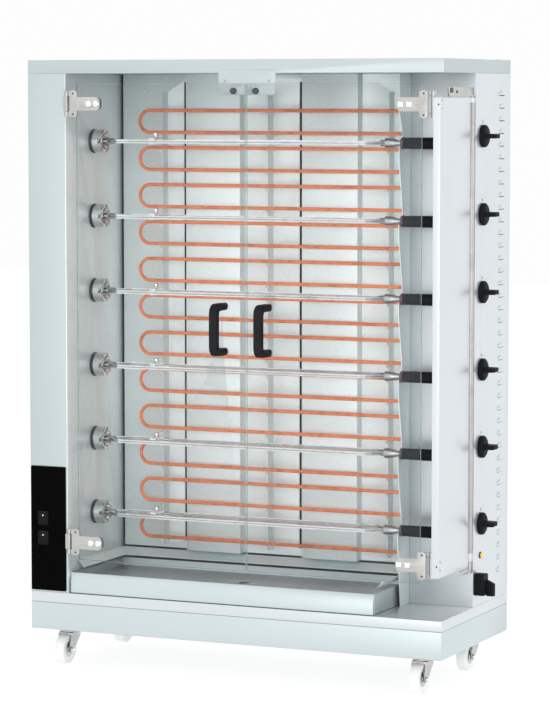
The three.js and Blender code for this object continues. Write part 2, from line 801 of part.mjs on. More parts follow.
add('drip_tray', dripTray(), steel());
add('drip_tray_front', dripTrayFront(), steel());
add('drip_grid', dripGrid(), linerSteel());
add('drip_funnel', dripFunnel(), linerSteel());

for (const [end, y] of Object.entries(casterY)) {
  for (const [side, x] of [['left', -casterX], ['right', casterX]]) {
    add(`caster_fork_${end}_${side}`, casterFork(x, y), zinc());
    add(`caster_wheel_${end}_${side}`, casterWheel(x, y), whiteNylon());
  }
}

oven.position.set(-switchReach / 2, (handleReach - cabinetDepth) / 2, casterHeight);

export default oven;
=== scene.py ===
"""A floor-standing rotisserie oven: stage, finishes and every visible piece."""

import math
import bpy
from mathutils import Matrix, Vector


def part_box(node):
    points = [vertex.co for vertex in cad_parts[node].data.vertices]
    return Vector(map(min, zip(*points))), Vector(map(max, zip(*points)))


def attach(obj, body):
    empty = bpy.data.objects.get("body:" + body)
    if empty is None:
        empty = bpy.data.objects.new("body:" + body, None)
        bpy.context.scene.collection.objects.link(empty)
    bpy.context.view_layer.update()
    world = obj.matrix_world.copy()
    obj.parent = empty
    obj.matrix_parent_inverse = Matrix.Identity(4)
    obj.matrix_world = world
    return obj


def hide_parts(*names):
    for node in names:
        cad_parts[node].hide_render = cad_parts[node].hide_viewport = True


bl_info = {
    "name": "Rotisserie oven",
    "version": (1, 0, 0),
    "blender": (4, 5, 0),
    "location": "View3D > Sidebar > Oven",
    "description": "Builds a floor-standing rotisserie oven on its packed frame",
    "category": "Add Mesh",
}

import bpy
from bpy.props import FloatProperty, FloatVectorProperty, IntProperty, PointerProperty
from bpy.types import Operator, Panel, PropertyGroup
from mathutils import Matrix, Vector

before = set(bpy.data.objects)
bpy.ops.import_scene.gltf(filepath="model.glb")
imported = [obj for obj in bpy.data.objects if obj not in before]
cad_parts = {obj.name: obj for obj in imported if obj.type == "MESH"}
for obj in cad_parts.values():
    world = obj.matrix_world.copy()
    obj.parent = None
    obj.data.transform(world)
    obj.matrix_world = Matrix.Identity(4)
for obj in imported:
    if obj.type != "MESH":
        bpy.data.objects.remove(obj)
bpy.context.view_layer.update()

MM = 0.001
AXES = {"x": Vector((1, 0, 0)), "y": Vector((0, 1, 0)), "z": Vector((0, 0, 1))}
ACROSS = {"x": ("y", "z"), "y": ("x", "z"), "z": ("x", "y")}
plinth_low, plinth_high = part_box("base_plinth")
ORIGIN = Vector(((plinth_low.x + plinth_high.x) / 2, plinth_low.y, plinth_low.z))

# Driving dimensions, in the cabinet's own millimetres.
SIDE = 565  # half the cabinet's width
BACK = 470  # the cabinet's depth
COLUMN_WALL = -458  # the cavity's left wall
REAR_WALL = 311
SPITS, TOP_SPIT, SPIT_PITCH, SPIT_Y = 6, 1251, 192.3, 155
TOP_KNOB, KNOB_PITCH, KNOB_Y = 1268, 193.2, 270
ELEMENTS, TOP_ELEMENT, ELEMENT_PITCH, ELEMENT_Y = 12, 1301, 96.15, 271.5
HAIRPIN_HALF = 28.4  # half the distance between a hairpin's legs
HAIRPIN_BEND, HAIRPIN_END = -355, 390
HINGE_HEIGHTS = {"top": 1347, "bottom": 233}
HANDLE_MIDDLE, HANDLE_HALF = 792, 65
GRID_TOP, GRID_FOOT = 128.4, 101.5
AXLE_HEIGHT, AXLE_TRAIL = -57, 28
ROCKER_HEIGHTS = {"upper": 288, "lower": 237}


def at(x, y, z):
    """A place in the cabinet's own millimetres, as a place in the scene."""
    return ORIGIN + Vector((x, y, z)) * MM


def spit_height(n):
    return TOP_SPIT - SPIT_PITCH * n


def knob_height(n):
    return TOP_KNOB - KNOB_PITCH * n


# ---- sizes and colours that a user would change ----------------------------------


def length(name, description, default, low=0.0):
    return FloatProperty(
        name=name, description=description, default=default * MM, min=low,
        subtype="DISTANCE", unit="LENGTH",
    )


def colour(name, description, default):
    return FloatVectorProperty(
        name=name, description=description, default=default, size=3, min=0, max=1, subtype="COLOR"
    )


class OvenSizes(PropertyGroup):
    """Lengths of the details that are added to the frame."""

    sheet_edge: length("Sheet edge", "Rounding of the folded sheet edges", 1.1)
    element_radius: length("Element radius", "Radius of a heating element's tube", 4.5)
    blade_width: length("Blade width", "Half the width of a spit's folded blade", 43)
    grip_radius: length("Spit grip radius", "Radius of a spit's black grip", 14.6)
    knob_radius: length("Knob radius", "Radius of a control knob's skirt", 28)
    louvre_width: length("Louvre width", "Length of one pressed louvre", 39)
    louvre_height: length("Louvre height", "Height of one pressed louvre", 10.5)
    louvre_pitch: length("Louvre pitch", "Distance between two louvres", 31.7)
    grid_hole: length("Grid hole", "Radius of a hole in the drip grid", 4.8)


class OvenCounts(PropertyGroup):
    """How many of the repeated details there are."""

    louvres: IntProperty(name="Louvres", description="Louvres in the column", default=39, min=1)
    grid_columns: IntProperty(name="Grid columns", description="Cells along the grid", default=28, min=2)
    grid_rows: IntProperty(name="Grid rows", description="Cells across the grid", default=9, min=2)


class OvenColours(PropertyGroup):
    """Colours of the oven's finishes."""

    stainless: colour("Stainless", "Brushed outer sheet", (0.495, 0.550, 0.560))
    # Side wall colour: the stainless painted lighter, as painted light on the faces that catch more light;
    # only the smoother grain is real.
    side: colour("Side wall", "Smooth side sheet", (0.64, 0.672, 0.688))
    # The liner colour is set near white as painted light, making up for the shade inside the cavity.
    liner: colour("Liner", "Cavity sheet", (0.885, 0.965, 0.975))
    polished: colour("Polished", "Polished spits and chucks", (0.80, 0.82, 0.82))
    zinc: colour("Zinc", "Plated hinge and caster parts", (0.50, 0.49, 0.47))
    black: colour("Black plastic", "Knobs and handles", (0.012, 0.012, 0.014))
    # The element colour also feeds a faint emission: a painted glow on tubes that are no lamp.
    element: colour("Element", "Glowing heating tubes", (0.80, 0.225, 0.085))
    nylon: colour("Nylon", "Caster wheels", (0.86, 0.87, 0.87))
    amber: colour("Amber", "Pilot lamp lens", (0.95, 0.42, 0.03))
    collar: colour("Collar", "Heat-tinted collar of a spit", (0.20, 0.13, 0.19))


# ---- modelling helpers -------------------------------------------------------------


def only(*pieces):
    bpy.ops.object.select_all(action="DESELECT")
    for piece in pieces:
        piece.select_set(True)
    bpy.context.view_layer.objects.active = pieces[-1]


def shape(piece):
    only(piece)
    bpy.ops.object.mode_set(mode="EDIT")


def done():
    bpy.ops.object.mode_set(mode="OBJECT")


def choose(piece, kind, wanted):
    """Selects only the faces, edges or corners that pass the test, and opens edit mode."""
    mesh = piece.data
    for group in (mesh.vertices, mesh.edges, mesh.polygons):
        group.foreach_set("select", [False] * len(group))
    for item in getattr(mesh, kind):
        item.select = bool(wanted(item))
    kinds = ("vertices", "edges", "polygons")
    bpy.context.tool_settings.mesh_select_mode = tuple(kind == k for k in kinds)
    shape(piece)


def edge_middle(piece, edge):
    a, b = (piece.data.vertices[i].co for i in edge.vertices)
    return (a + b) / 2


def chain(points):
    """An open row of edges through the points, left selected in edit mode."""
    bpy.ops.object.select_all(action="DESELECT")
    bpy.ops.mesh.primitive_plane_add(size=MM, location=(0, 0, 0))
    piece = bpy.context.object
    bpy.context.tool_settings.mesh_select_mode = (True, False, False)
    bpy.ops.object.mode_set(mode="EDIT")
    bpy.ops.mesh.select_all(action="SELECT")
    bpy.ops.mesh.merge(type="CENTER")
    bpy.ops.transform.translate(value=points[0])
    for here, there in zip(points, points[1:]):
        bpy.ops.mesh.extrude_vertices_move(TRANSFORM_OT_translate={"value": there - here})
    bpy.ops.mesh.select_all(action="SELECT")
    return piece


def turned(axis, centre, profile, steps=32, smooth=35):
    """A round piece: its outline of (radius, place along the axis) swept once round."""
    along, out = AXES[axis], AXES[ACROSS[axis][1]]
    middle = at(*centre)
    piece = chain([middle + along * (place * MM) + out * (radius * MM) for radius, place in profile])
    bpy.ops.mesh.spin(steps=steps, angle=math.tau, center=middle, axis=along)
    bpy.ops.mesh.select_all(action="SELECT")
    bpy.ops.mesh.remove_doubles(threshold=1e-6)
    bpy.ops.mesh.normals_make_consistent(inside=False)
    done()
    only(piece)
    bpy.ops.object.shade_smooth_by_angle(angle=math.radians(smooth))
    return piece


def outline(axis, corners, reach):
    """A prism: its outline across the axis, pulled along it."""
    u, v = (AXES[name] for name in ACROSS[axis])
    start = ORIGIN + AXES[axis] * (reach[0] * MM)
    piece = chain([start + u * (a * MM) + v * (b * MM) for a, b in corners])
    bpy.ops.mesh.edge_face_add()
    pull = AXES[axis] * ((reach[1] - reach[0]) * MM)
    bpy.ops.mesh.extrude_region_move(TRANSFORM_OT_translate={"value": pull})
    bpy.ops.mesh.select_all(action="SELECT")
    bpy.ops.mesh.normals_make_consistent(inside=False)
    done()
    return piece


def rounded(u, v, radius, steps=5):
    """The corners of a rectangle with rounded corners."""
    corners = []
    for middle_u, middle_v, start in (
        (u[1] - radius, v[1] - radius, 0),
        (u[0] + radius, v[1] - radius, 90),
        (u[0] + radius, v[0] + radius, 180),
        (u[1] - radius, v[0] + radius, 270),
    ):
        corners += bend(middle_u, middle_v, radius, start, start + 90, steps)
    return corners


def bend(middle_u, middle_v, radius, start, end, steps=8):
    """Points along an arc, its ends given in degrees."""
    turns = [math.radians(start + (end - start) * step / steps) for step in range(steps + 1)]
    return [(middle_u + radius * math.cos(turn), middle_v + radius * math.sin(turn)) for turn in turns]


def block(low, high, edge=0.8, segments=2):
    """A block between two corners, all its edges rounded."""
    low, high = at(*low), at(*high)
    bpy.ops.object.select_all(action="DESELECT")
    bpy.ops.mesh.primitive_cube_add(size=1, location=(0, 0, 0))
    piece = bpy.context.object
    bpy.ops.object.mode_set(mode="EDIT")
    bpy.ops.mesh.select_all(action="SELECT")
    bpy.ops.transform.resize(value=high - low)
    bpy.ops.transform.translate(value=(low + high) / 2)
    bpy.ops.mesh.bevel(offset=edge * MM, segments=segments, affect="EDGES")
    done()
    bpy.ops.object.shade_smooth_by_angle(angle=math.radians(40))
    return piece


def modify(piece, kind, **settings):
    """Adds a modifier with these settings to the piece, and applies it."""
    only(piece)
    bpy.ops.object.modifier_add(type=kind)
    modifier = piece.modifiers[-1]
    for name, value in settings.items():
        setattr(modifier, name, value)
    bpy.ops.object.modifier_apply(modifier=modifier.name)
    return piece


def round_edges(piece, width, segments=2, angle=30):
    limit = {"limit_method": "ANGLE", "angle_limit": math.radians(angle)}
    modify(piece, "BEVEL", width=width * MM, segments=segments, **limit)
    bpy.ops.object.shade_smooth_by_angle(angle=math.radians(35))
    return piece


def softened(node, width, segments=2, angle=30, flatten=True):
    """A copy of a frame node with merged corners, clean faces and rounded edges."""
    piece = bpy.data.objects.new(node + ".soft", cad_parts[node].data.copy())
    bpy.context.scene.collection.objects.link(piece)
    shape(piece)
    bpy.ops.mesh.select_all(action="SELECT")
    bpy.ops.mesh.remove_doubles(threshold=1e-5)
    if flatten:
        bpy.ops.mesh.dissolve_limited(angle_limit=math.radians(1))
    done()
    return round_edges(piece, width, segments, angle)


def again(piece, move):
    """A copy with its own mesh, moved by so many millimetres."""
    copy = bpy.data.objects.new(piece.name, piece.data.copy())
    bpy.context.scene.collection.objects.link(copy)
    copy.data.transform(Matrix.Translation(Vector(move) * MM))
    return copy


def weld(*pieces):
    only(*pieces)
    bpy.ops.object.join()
    return bpy.context.object


def drill(piece, cutter):
    modify(piece, "BOOLEAN", operation="DIFFERENCE", solver="EXACT", object=cutter)
    bpy.data.objects.remove(cutter)
    return piece


def screw(axis, centre, radius=4.0, height=2.2, way=1):
    """A pan head with a shallow cross recess, drawn as a dished top."""
    profile = [
        (0, 0), (radius, 0), (radius, height * 0.45), (radius * 0.86, height * 0.86),
        (radius * 0.5, height), (radius * 0.34, height), (radius * 0.22, height * 0.45),
        (0, height * 0.4),
    ]
    return turned(axis, centre, [(r, way * h) for r, h in profile], 16)


def bolt(axis, centre, radius=5.5, height=4.0, way=1):
    """A hexagonal head with a chamfered top, on a thin washer."""
    thickness, reach, brim = way * 0.8, way * height, radius * 1.35
    head = turned(axis, centre, [
        (0, thickness), (radius, thickness), (radius, reach * 0.85), (radius * 0.86, reach), (0, reach),
    ], 6, 20)
    washer = turned(axis, centre, [(0, 0), (brim, 0), (brim, thickness), (0, thickness)], 20)
    return weld(head, washer)


def place(piece, name, body, finish, *stands_for):
    """Names a finished piece, gives it its material, and hangs it on its body."""
    piece.name = name
    piece.data.name = name
    material, slot = FINISHES[finish]
    if len(piece.data.materials) == 0 or finish != "door_glass":
        piece.data.materials.clear()
        piece.data.materials.append(bpy.data.materials[material])
    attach(piece, body)
    if stands_for:
        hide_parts(*stands_for)
    return piece


def plated(piece):
    """Gives the hinge barrels and straps in front of the cavity a plated finish."""
    piece.data.materials.append(bpy.data.materials["Plated steel"])
    half_leaf = 34
    low, high = (-456.5, -14), (560.4, 27)
    for face in piece.data.polygons:
        x, y, z = (face.center - ORIGIN) / MM
        near = min(abs(z - height) for height in HINGE_HEIGHTS.values()) < half_leaf
        if near and low[0] < x < high[0] and low[1] < y < high[1]:
            face.material_index = 1


# ---- finishes ----------------------------------------------------------------------

FINISHES = {
    "stainless": ("Stainless, level grain", "stainless"),
    "stainless_upright": ("Stainless, upright grain", "stainless"),
    "side": ("Stainless, smooth", "stainless"),
    "stainless_low": ("Stainless, plinth sheet", "stainless"),
    "liner": ("Cavity sheet", "liner"),
    "polished": ("Polished steel", "polished"),
    "zinc": ("Plated steel", "zinc"),
    "black_plastic": ("Black plastic", "black_plastic"),
    "black_panel": ("Black gloss", "black_panel"),
    "element": ("Heated tube", "element"),
    "dark_metal": ("Dark steel", "dark_metal"),
    "door_glass": ("Door glass", "door_glass"),
    "white_nylon": ("White nylon", "white_nylon"),
    "amber_lens": ("Amber lens", "amber_lens"),
    "blade": ("Spit steel", "polished"),
    "chuck": ("Chuck steel", "polished"),
    "collar": ("Heat-tinted collar", "polished"),
    "shadow": ("Soot black", "dark_metal"),
    "white_mark": ("White paint", "white_nylon"),
}


def new_group(name, inputs, outputs):
    tree = bpy.data.node_groups.new(name, "ShaderNodeTree")
    for label, kind, default in inputs:
        socket = tree.interface.new_socket(name=label, in_out="INPUT", socket_type=kind)
        socket.default_value = default
    for label, kind in outputs:
        tree.interface.new_socket(name=label, in_out="OUTPUT", socket_type=kind)
    return tree, tree.nodes.new("NodeGroupInput"), tree.nodes.new("NodeGroupOutput")


def add_node(tree, kind, **sockets):
    """A shader node with these fixed values on its sockets, spaces written as underscores."""
    node = tree.nodes.new("ShaderNode" + kind)
    for label, value in sockets.items():
        node.inputs[label.replace("_", " ")].default_value = value
    return node


def noise(tree, vector, scale, detail, roughness):
    node = add_node(tree, "TexNoise", Scale=scale, Detail=detail, Roughness=roughness)
    tree.links.new(vector, node.inputs["Vector"])
    return node.outputs["Fac"]


def brushed_group():
    """Fine parallel scratches along one direction, and slow clouds over the sheet."""
    tree, source, result = new_group(
        "Brushed sheet",
        [("Lay", "NodeSocketVector", (4, 4, 900)), ("Cloud size", "NodeSocketFloat", 3.0)],
        [("Scratches", "NodeSocketFloat"), ("Streaks", "NodeSocketFloat"), ("Clouds", "NodeSocketFloat")],
    )
    place_on = add_node(tree, "TexCoord").outputs["Object"]
    stretch = add_node(tree, "VectorMath")
    stretch.operation = "MULTIPLY"
    tree.links.new(place_on, stretch.inputs[0])
    tree.links.new(source.outputs["Lay"], stretch.inputs[1])
    wide = add_node(tree, "VectorMath")
    wide.operation = "SCALE"
    wide.inputs["Scale"].default_value = 0.06
    tree.links.new(stretch.outputs[0], wide.inputs[0])
    tree.links.new(noise(tree, stretch.outputs[0], 1.0, 2.0, 0.6), result.inputs["Scratches"])
    tree.links.new(noise(tree, wide.outputs[0], 1.0, 2.0, 0.5), result.inputs["Streaks"])
    cloud = add_node(tree, "TexNoise", Detail=3.0)
    tree.links.new(place_on, cloud.inputs["Vector"])
    tree.links.new(source.outputs["Cloud size"], cloud.inputs["Scale"])
    tree.links.new(cloud.outputs["Fac"], result.inputs["Clouds"])
    return tree


def marks_group():
    """Faint wiped smears and specks from handling and cleaning."""
    tree, source, result = new_group(
        "Handling marks",
        [("Size", "NodeSocketFloat", 9.0)],
        [("Smears", "NodeSocketFloat"), ("Specks", "NodeSocketFloat")],
    )
    place_on = add_node(tree, "TexCoord").outputs["Object"]
    smear = add_node(tree, "TexNoise", Detail=5.0, Distortion=1.4)
    tree.links.new(place_on, smear.inputs["Vector"])
    tree.links.new(source.outputs["Size"], smear.inputs["Scale"])
    ramp = add_node(tree, "MapRange", From_Min=0.45, From_Max=0.72)
    tree.links.new(smear.outputs["Fac"], ramp.inputs["Value"])
    tree.links.new(ramp.outputs["Result"], result.inputs["Smears"])
    speck = noise(tree, place_on, 420.0, 1.0, 0.5)
    tree.links.new(speck, result.inputs["Specks"])
    return tree


def moulded_group():
    """The fine pebbled skin of a moulded plastic."""
    tree, source, result = new_group(
        "Moulded skin",
        [("Size", "NodeSocketFloat", 1500.0)],
        [("Pebbles", "NodeSocketFloat"), ("Wear", "NodeSocketFloat")],
    )
    place_on = add_node(tree, "TexCoord").outputs["Object"]
    cells = add_node(tree, "TexVoronoi")
    tree.links.new(place_on, cells.inputs["Vector"])
    tree.links.new(source.outputs["Size"], cells.inputs["Scale"])
    tree.links.new(cells.outputs["Distance"], result.inputs["Pebbles"])
    tree.links.new(noise(tree, place_on, 35.0, 3.0, 0.6), result.inputs["Wear"])
    return tree


class Finish:
    """One material: a Principled shader with patterns placed in front of its sockets."""

    def __init__(self, name):
        self.material = bpy.data.materials.new(name)
        self.material.use_nodes = True
        self.tree = self.material.node_tree
        self.shader = self.tree.nodes["Principled BSDF"]

    def fixed(self, **values):
        for label, value in values.items():
            self.shader.inputs[label.replace("_", " ")].default_value = value
        return self

    def pattern(self, group, **values):
        node = add_node(self.tree, "Group")
        node.node_tree = bpy.data.node_groups[group]
        for label, value in values.items():
            node.inputs[label.replace("_", " ")].default_value = value
        return node.outputs

    def blend(self, mask, dark, light, socket="Base Color", factor=1.0):
        mix = add_node(self.tree, "Mix")
        mix.data_type = "RGBA"
        mix.inputs["A"].default_value = (*dark, 1)
        mix.inputs["B"].default_value = (*light, 1)
        self.tree.links.new(mask, mix.inputs["Factor"])
        self.tree.links.new(mix.outputs["Result"], self.shader.inputs[socket])
        return mix

    def spread(self, mask, low, high, socket="Roughness"):
        ramp = add_node(self.tree, "MapRange", From_Min=0.25, From_Max=0.75, To_Min=low, To_Max=high)
        self.tree.links.new(mask, ramp.inputs["Value"])
        self.tree.links.new(ramp.outputs["Result"], self.shader.inputs[socket])
        return ramp

    def relief(self, height, strength, distance):
        bump = add_node(self.tree, "Bump", Strength=strength, Distance=distance)
        self.tree.links.new(height, bump.inputs["Height"])
        self.tree.links.new(bump.outputs["Normal"], self.shader.inputs["Normal"])
        return bump


def scaled(colour, factor):
    return tuple(min(1.0, c * factor) for c in colour)


def sheet_metal(finish, colour, lay, rough, relief=0.12, metallic=0.8):
    metal = Finish(FINISHES[finish][0]).fixed(Metallic=metallic)
    brushed = metal.pattern("Brushed sheet", Lay=lay)
    metal.blend(brushed["Clouds"], scaled(colour, 0.955), scaled(colour, 1.035))
    metal.spread(brushed["Scratches"], rough - 0.06, rough + 0.08)
    metal.relief(brushed["Scratches"], relief, 0.0001)
    return metal


def small_metal(finish, colour, rough, spread=0.08):
    metal = Finish(FINISHES[finish][0]).fixed(Metallic=1.0)
    marks = metal.pattern("Handling marks", Size=22.0)
    metal.blend(marks["Smears"], scaled(colour, 1.03), scaled(colour, 0.90))
    metal.spread(marks["Smears"], rough, rough + spread)
    metal.relief(marks["Specks"], 0.06, 0.0001)
    return metal


def plastic(finish, colour, rough, size=1500.0, relief=0.25):
    skin = Finish(FINISHES[finish][0])
    pebbles = skin.pattern("Moulded skin", Size=size)
    skin.blend(pebbles["Wear"], scaled(colour, 0.85), scaled(colour, 1.3))
    skin.spread(pebbles["Wear"], rough - 0.05, rough + 0.08)
    skin.relief(pebbles["Pebbles"], relief, 0.0001)
    return skin


class OVEN_OT_finishes(Operator):
    """Builds the shared patterns and every finish of the oven."""

    bl_idname = "oven.finishes"
    bl_label = "Finishes"

    def execute(self, context):
        shades = context.scene.oven_colours
        brushed_group()
        marks_group()
        moulded_group()
        sheet_metal("stainless", tuple(shades.stainless), (3, 900, 900), 0.40)
        sheet_metal("stainless_upright", tuple(shades.stainless), (900, 900, 3), 0.40)
        # Painted light: a lighter copy of the stainless for the side wall, side door, louvres, deck and
        # grid; only its smoother grain is a real difference.
        sheet_metal("side", tuple(shades.side), (500, 500, 2), 0.34, 0.008, 0.75)
        # Painted light: the stainless painted 17 % lighter for the plinth tub and the tray front.
        sheet_metal("stainless_low", scaled(shades.stainless, 1.17), (3, 900, 900), 0.40)
        self.spangled(tuple(shades.liner))
        small_metal("blade", scaled(shades.polished, 0.62), 0.26)
        small_metal("chuck", scaled(shades.polished, 0.88), 0.13)
        small_metal("polished", tuple(shades.polished), 0.16)
        small_metal("zinc", tuple(shades.zinc), 0.34)
        small_metal("dark_metal", (0.10, 0.10, 0.105), 0.42)
        small_metal("collar", tuple(shades.collar), 0.35)
        plastic("black_plastic", tuple(shades.black), 0.42).fixed(IOR=1.1)
        gloss = plastic("black_panel", (0.0012, 0.0012, 0.0014), 0.16, 300.0, 0.02)
        gloss.fixed(Specular_IOR_Level=0.02)
        # Flat black: painted shade in the wall slots, louvre openings, rear vents and pin holes, and the
        # printed ticks by the knobs.
        plastic("shadow", (0.006, 0.006, 0.006), 0.8)
        plastic("white_nylon", tuple(shades.nylon), 0.45, 900.0, 0.15)
        plastic("white_mark", (0.8, 0.8, 0.8), 0.5, 900.0, 0.1)
        lens = plastic("amber_lens", tuple(shades.amber), 0.14, 500.0, 0.08)
        lens.fixed(Emission_Color=(*shades.amber, 1), Emission_Strength=0.25)
        # The tubes' orange is their colour; the faint emission is a painted glow that lifts them.
        glow_tube = Finish(FINISHES["element"][0]).fixed(Metallic=0.1, Emission_Strength=0.22)
        marks = glow_tube.pattern("Handling marks", Size=30.0)
        glow_tube.blend(marks["Smears"], tuple(shades.element), scaled(shades.element, 0.72))
        glow = (scaled(shades.element, 0.55), scaled(shades.element, 0.3))
        glow_tube.blend(marks["Smears"], *glow, "Emission Color")
        glow_tube.spread(marks["Smears"], 0.38, 0.55)
        glow_tube.relief(marks["Specks"], 0.2, 0.0001)
        self.glass("Door glass", (0.16, 0.18, 0.18), 0.055, 0.30)
        self.glass("Glass edge", (0.30, 0.40, 0.38), 0.50, 0.85)
        return {"FINISHED"}

    def spangled(self, colour):
        """Cavity sheet: soft upright streaks over a fine mottled skin."""
        # The near-white liner colour is painted light that makes up for the shade inside the cavity.
        metal = sheet_metal("liner", colour, (260, 260, 3), 0.44, 0.03, 0.55)
        skin = metal.pattern("Moulded skin", Size=160.0)
        spangle = add_node(metal.tree, "MapRange", To_Min=1.0, To_Max=0.90)
        metal.tree.links.new(skin["Pebbles"], spangle.inputs["Value"])
        shade = metal.shader.inputs["Base Color"].links[0].from_socket
        mix = add_node(metal.tree, "VectorMath")
        mix.operation = "SCALE"
        metal.tree.links.new(shade, mix.inputs[0])
        metal.tree.links.new(spangle.outputs["Result"], mix.inputs["Scale"])
        metal.tree.links.new(mix.outputs[0], metal.shader.inputs["Base Color"])

    def glass(self, name, colour, clear, glancing):
        """A clear pane: nearly see-through face on, and more of a mirror at a glance."""
        pane = Finish(name).fixed(Metallic=0.0, IOR=1.5)
        marks = pane.pattern("Handling marks", Size=5.0)
        pane.blend(marks["Smears"], colour, scaled(colour, 1.25))
        pane.spread(marks["Smears"], 0.03, 0.09)
        glance = add_node(pane.tree, "Fresnel", IOR=1.5)
        reach = {"From_Min": 0.04, "From_Max": 0.6, "To_Min": clear, "To_Max": glancing}
        ramp = add_node(pane.tree, "MapRange", **reach)
        pane.tree.links.new(glance.outputs["Fac"], ramp.inputs["Value"])
        pane.tree.links.new(ramp.outputs["Result"], pane.shader.inputs["Alpha"])


# ---- stage -------------------------------------------------------------------------


class OVEN_OT_stage(Operator):
    """Sets the pale floor, the soft lights, the white room and the camera."""

    bl_idname = "oven.stage"
    bl_label = "Stage"

    def execute(self, context):
        scene = context.scene
        scene.view_settings.view_transform = "Standard"
        scene.view_settings.look = "None"
        bpy.ops.object.select_all(action="DESELECT")
        bpy.ops.mesh.primitive_plane_add(size=30, location=(0, 0, 0))
        floor = context.object
        floor.name = "floor"
        paint = Finish("Pale floor").fixed(
            Base_Color=(0.30, 0.30, 0.30, 1), Roughness=0.9, Specular_IOR_Level=0.0,
            Emission_Color=(1, 1, 1, 1), Emission_Strength=0.80,
        )
        floor.data.materials.append(paint.material)
        floor.visible_glossy = False
        self.room(scene)
        self.soft_light("key", (-2.6, -4.2, 3.6), (0, 0, 0.8), 2.6, 8)
        self.soft_light("front fill", (1.2, -5.4, 1.0), (0, 0, 0.7), 3.0, 44)
        self.soft_light("side fill", (4.6, -0.6, 2.4), (0.5, 0, 0.7), 2.4, 10)
        self.soft_light("back rim", (-1.0, 4.2, 3.2), (0, 0, 0.9), 2.6, 30)
        glow = self.soft_light("cavity fill", at(10, -90, 800), at(10, 300, 800), 1.0, 2.3)
        glow.visible_camera = False
        glow.visible_glossy = False
        lens = bpy.data.cameras.new("camera")
        lens.lens = 152.5
        lens.sensor_width = 36
        lens.clip_end = 100
        camera = bpy.data.objects.new("camera", lens)
        scene.collection.objects.link(camera)
        camera.location = (3.1214, -6.9391, 1.4667)
        camera.rotation_euler = (math.radians(85.04), 0, math.radians(24.14))
        scene.camera = camera
        return {"FINISHED"}

    def room(self, scene):
        """A white room: plain white to the camera, a little greyer to the metal."""
        world = bpy.data.worlds.new("room")
        scene.world = world
        world.use_nodes = True
        tree = world.node_tree
        shown = tree.nodes["Background"]
        shown.inputs["Color"].default_value = (1, 1, 1, 1)
        shown.inputs["Strength"].default_value = 0.985
        mirrored = add_node(tree, "Background", Strength=1.12)
        way = add_node(tree, "TexCoord")
        split = add_node(tree, "SeparateXYZ")
        tree.links.new(way.outputs["Generated"], split.inputs[0])
        level = add_node(tree, "MapRange", From_Min=-1.0)
        tree.links.new(split.outputs["Z"], level.inputs["Value"])
        ramp = add_node(tree, "ValToRGB")
        bands = ramp.color_ramp.elements
        bands[0].position, bands[0].color = 0.0, (0.20, 0.21, 0.215, 1)
        bands[1].position, bands[1].color = 1.0, (0.20, 0.205, 0.21, 1)
        for position, shade in ((0.22, 1.06), (0.50, 1.06), (0.82, 1.04)):
            band = bands.new(position)
            band.color = (shade * 0.985, shade, shade * 1.005, 1)
        tree.links.new(level.outputs["Result"], ramp.inputs["Fac"])
        tree.links.new(ramp.outputs["Color"], mirrored.inputs["Color"])
        path = add_node(tree, "LightPath")
        mix = add_node(tree, "MixShader")
        tree.links.new(path.outputs["Is Camera Ray"], mix.inputs["Fac"])
        tree.links.new(mirrored.outputs[0], mix.inputs[1])
        tree.links.new(shown.outputs[0], mix.inputs[2])
        tree.links.new(mix.outputs[0], tree.nodes["World Output"].inputs["Surface"])

    def soft_light(self, name, where, towards, size, power):
        data = bpy.data.lights.new(name, "AREA")
        data.size = size
        data.energy = power
        lamp = bpy.data.objects.new(name, data)
        bpy.context.scene.collection.objects.link(lamp)
        lamp.location = where
        aim = Vector(towards) - Vector(where)
        lamp.rotation_euler = aim.to_track_quat("-Z", "Y").to_euler()
        return lamp


# ---- the cabinet -------------------------------------------------------------------


class OVEN_OT_plinth(Operator):
    """Plinth tub and deck with folded edges, and the screws that hold them."""

    bl_idname = "oven.plinth"
    bl_label = "Plinth and deck"

    def execute(self, context):
        # The plinth tub takes the lighter plinth copy of the stainless: painted light.
        place(softened("base_plinth", 1.6, 3), "plinth_tub", "cabinet", "stainless_low", "base_plinth")
        # The deck takes the lighter side finish: painted light.
        place(softened("base_deck", 1.4, 3), "plinth_deck", "cabinet", "side", "base_deck")
        heads = [screw("x", (-SIDE, y, 35), 3.6, 1.8, -1) for y in (30, 235, 440)]
        heads += [screw("y", (x, BACK, 35), 3.6, 1.8) for x in (-520, -175, 175, 520)]
        place(weld(*heads), "plinth_screws", "cabinet", "zinc")
        return {"FINISHED"}


class OVEN_OT_cover(Operator):
    """Top cover with its folded band, its screws and the doors' catch plate."""

    bl_idname = "oven.cover"
    bl_label = "Top cover"

    def execute(self, context):
        place(softened("top_cover", 1.4, 3), "cover_sheet", "cabinet", "stainless", "top_cover")
        heads = [screw("z", (x, 445, 1457), 4, 2) for x in (-540, 540)]
        heads += [screw("x", (-SIDE, y, 1440), 3.4, 1.6, -1) for y in (60, 410)]
        heads += [screw("y", (x, -1.5, 1404), 3.0, 1.5, -1) for x in (-12, 107)]
        place(weld(*heads), "cover_screws", "cabinet", "zinc")
        pads = [turned("y", (x, 0, 1379), [
            (0, -9), (6.5, -9), (8, -7.6), (8, -1.4), (0, -1.4),
        ], 28) for x in (12.3, 72.3)]
        place(weld(*pads), "catch_magnets", "cabinet", "dark_metal")
        return {"FINISHED"}


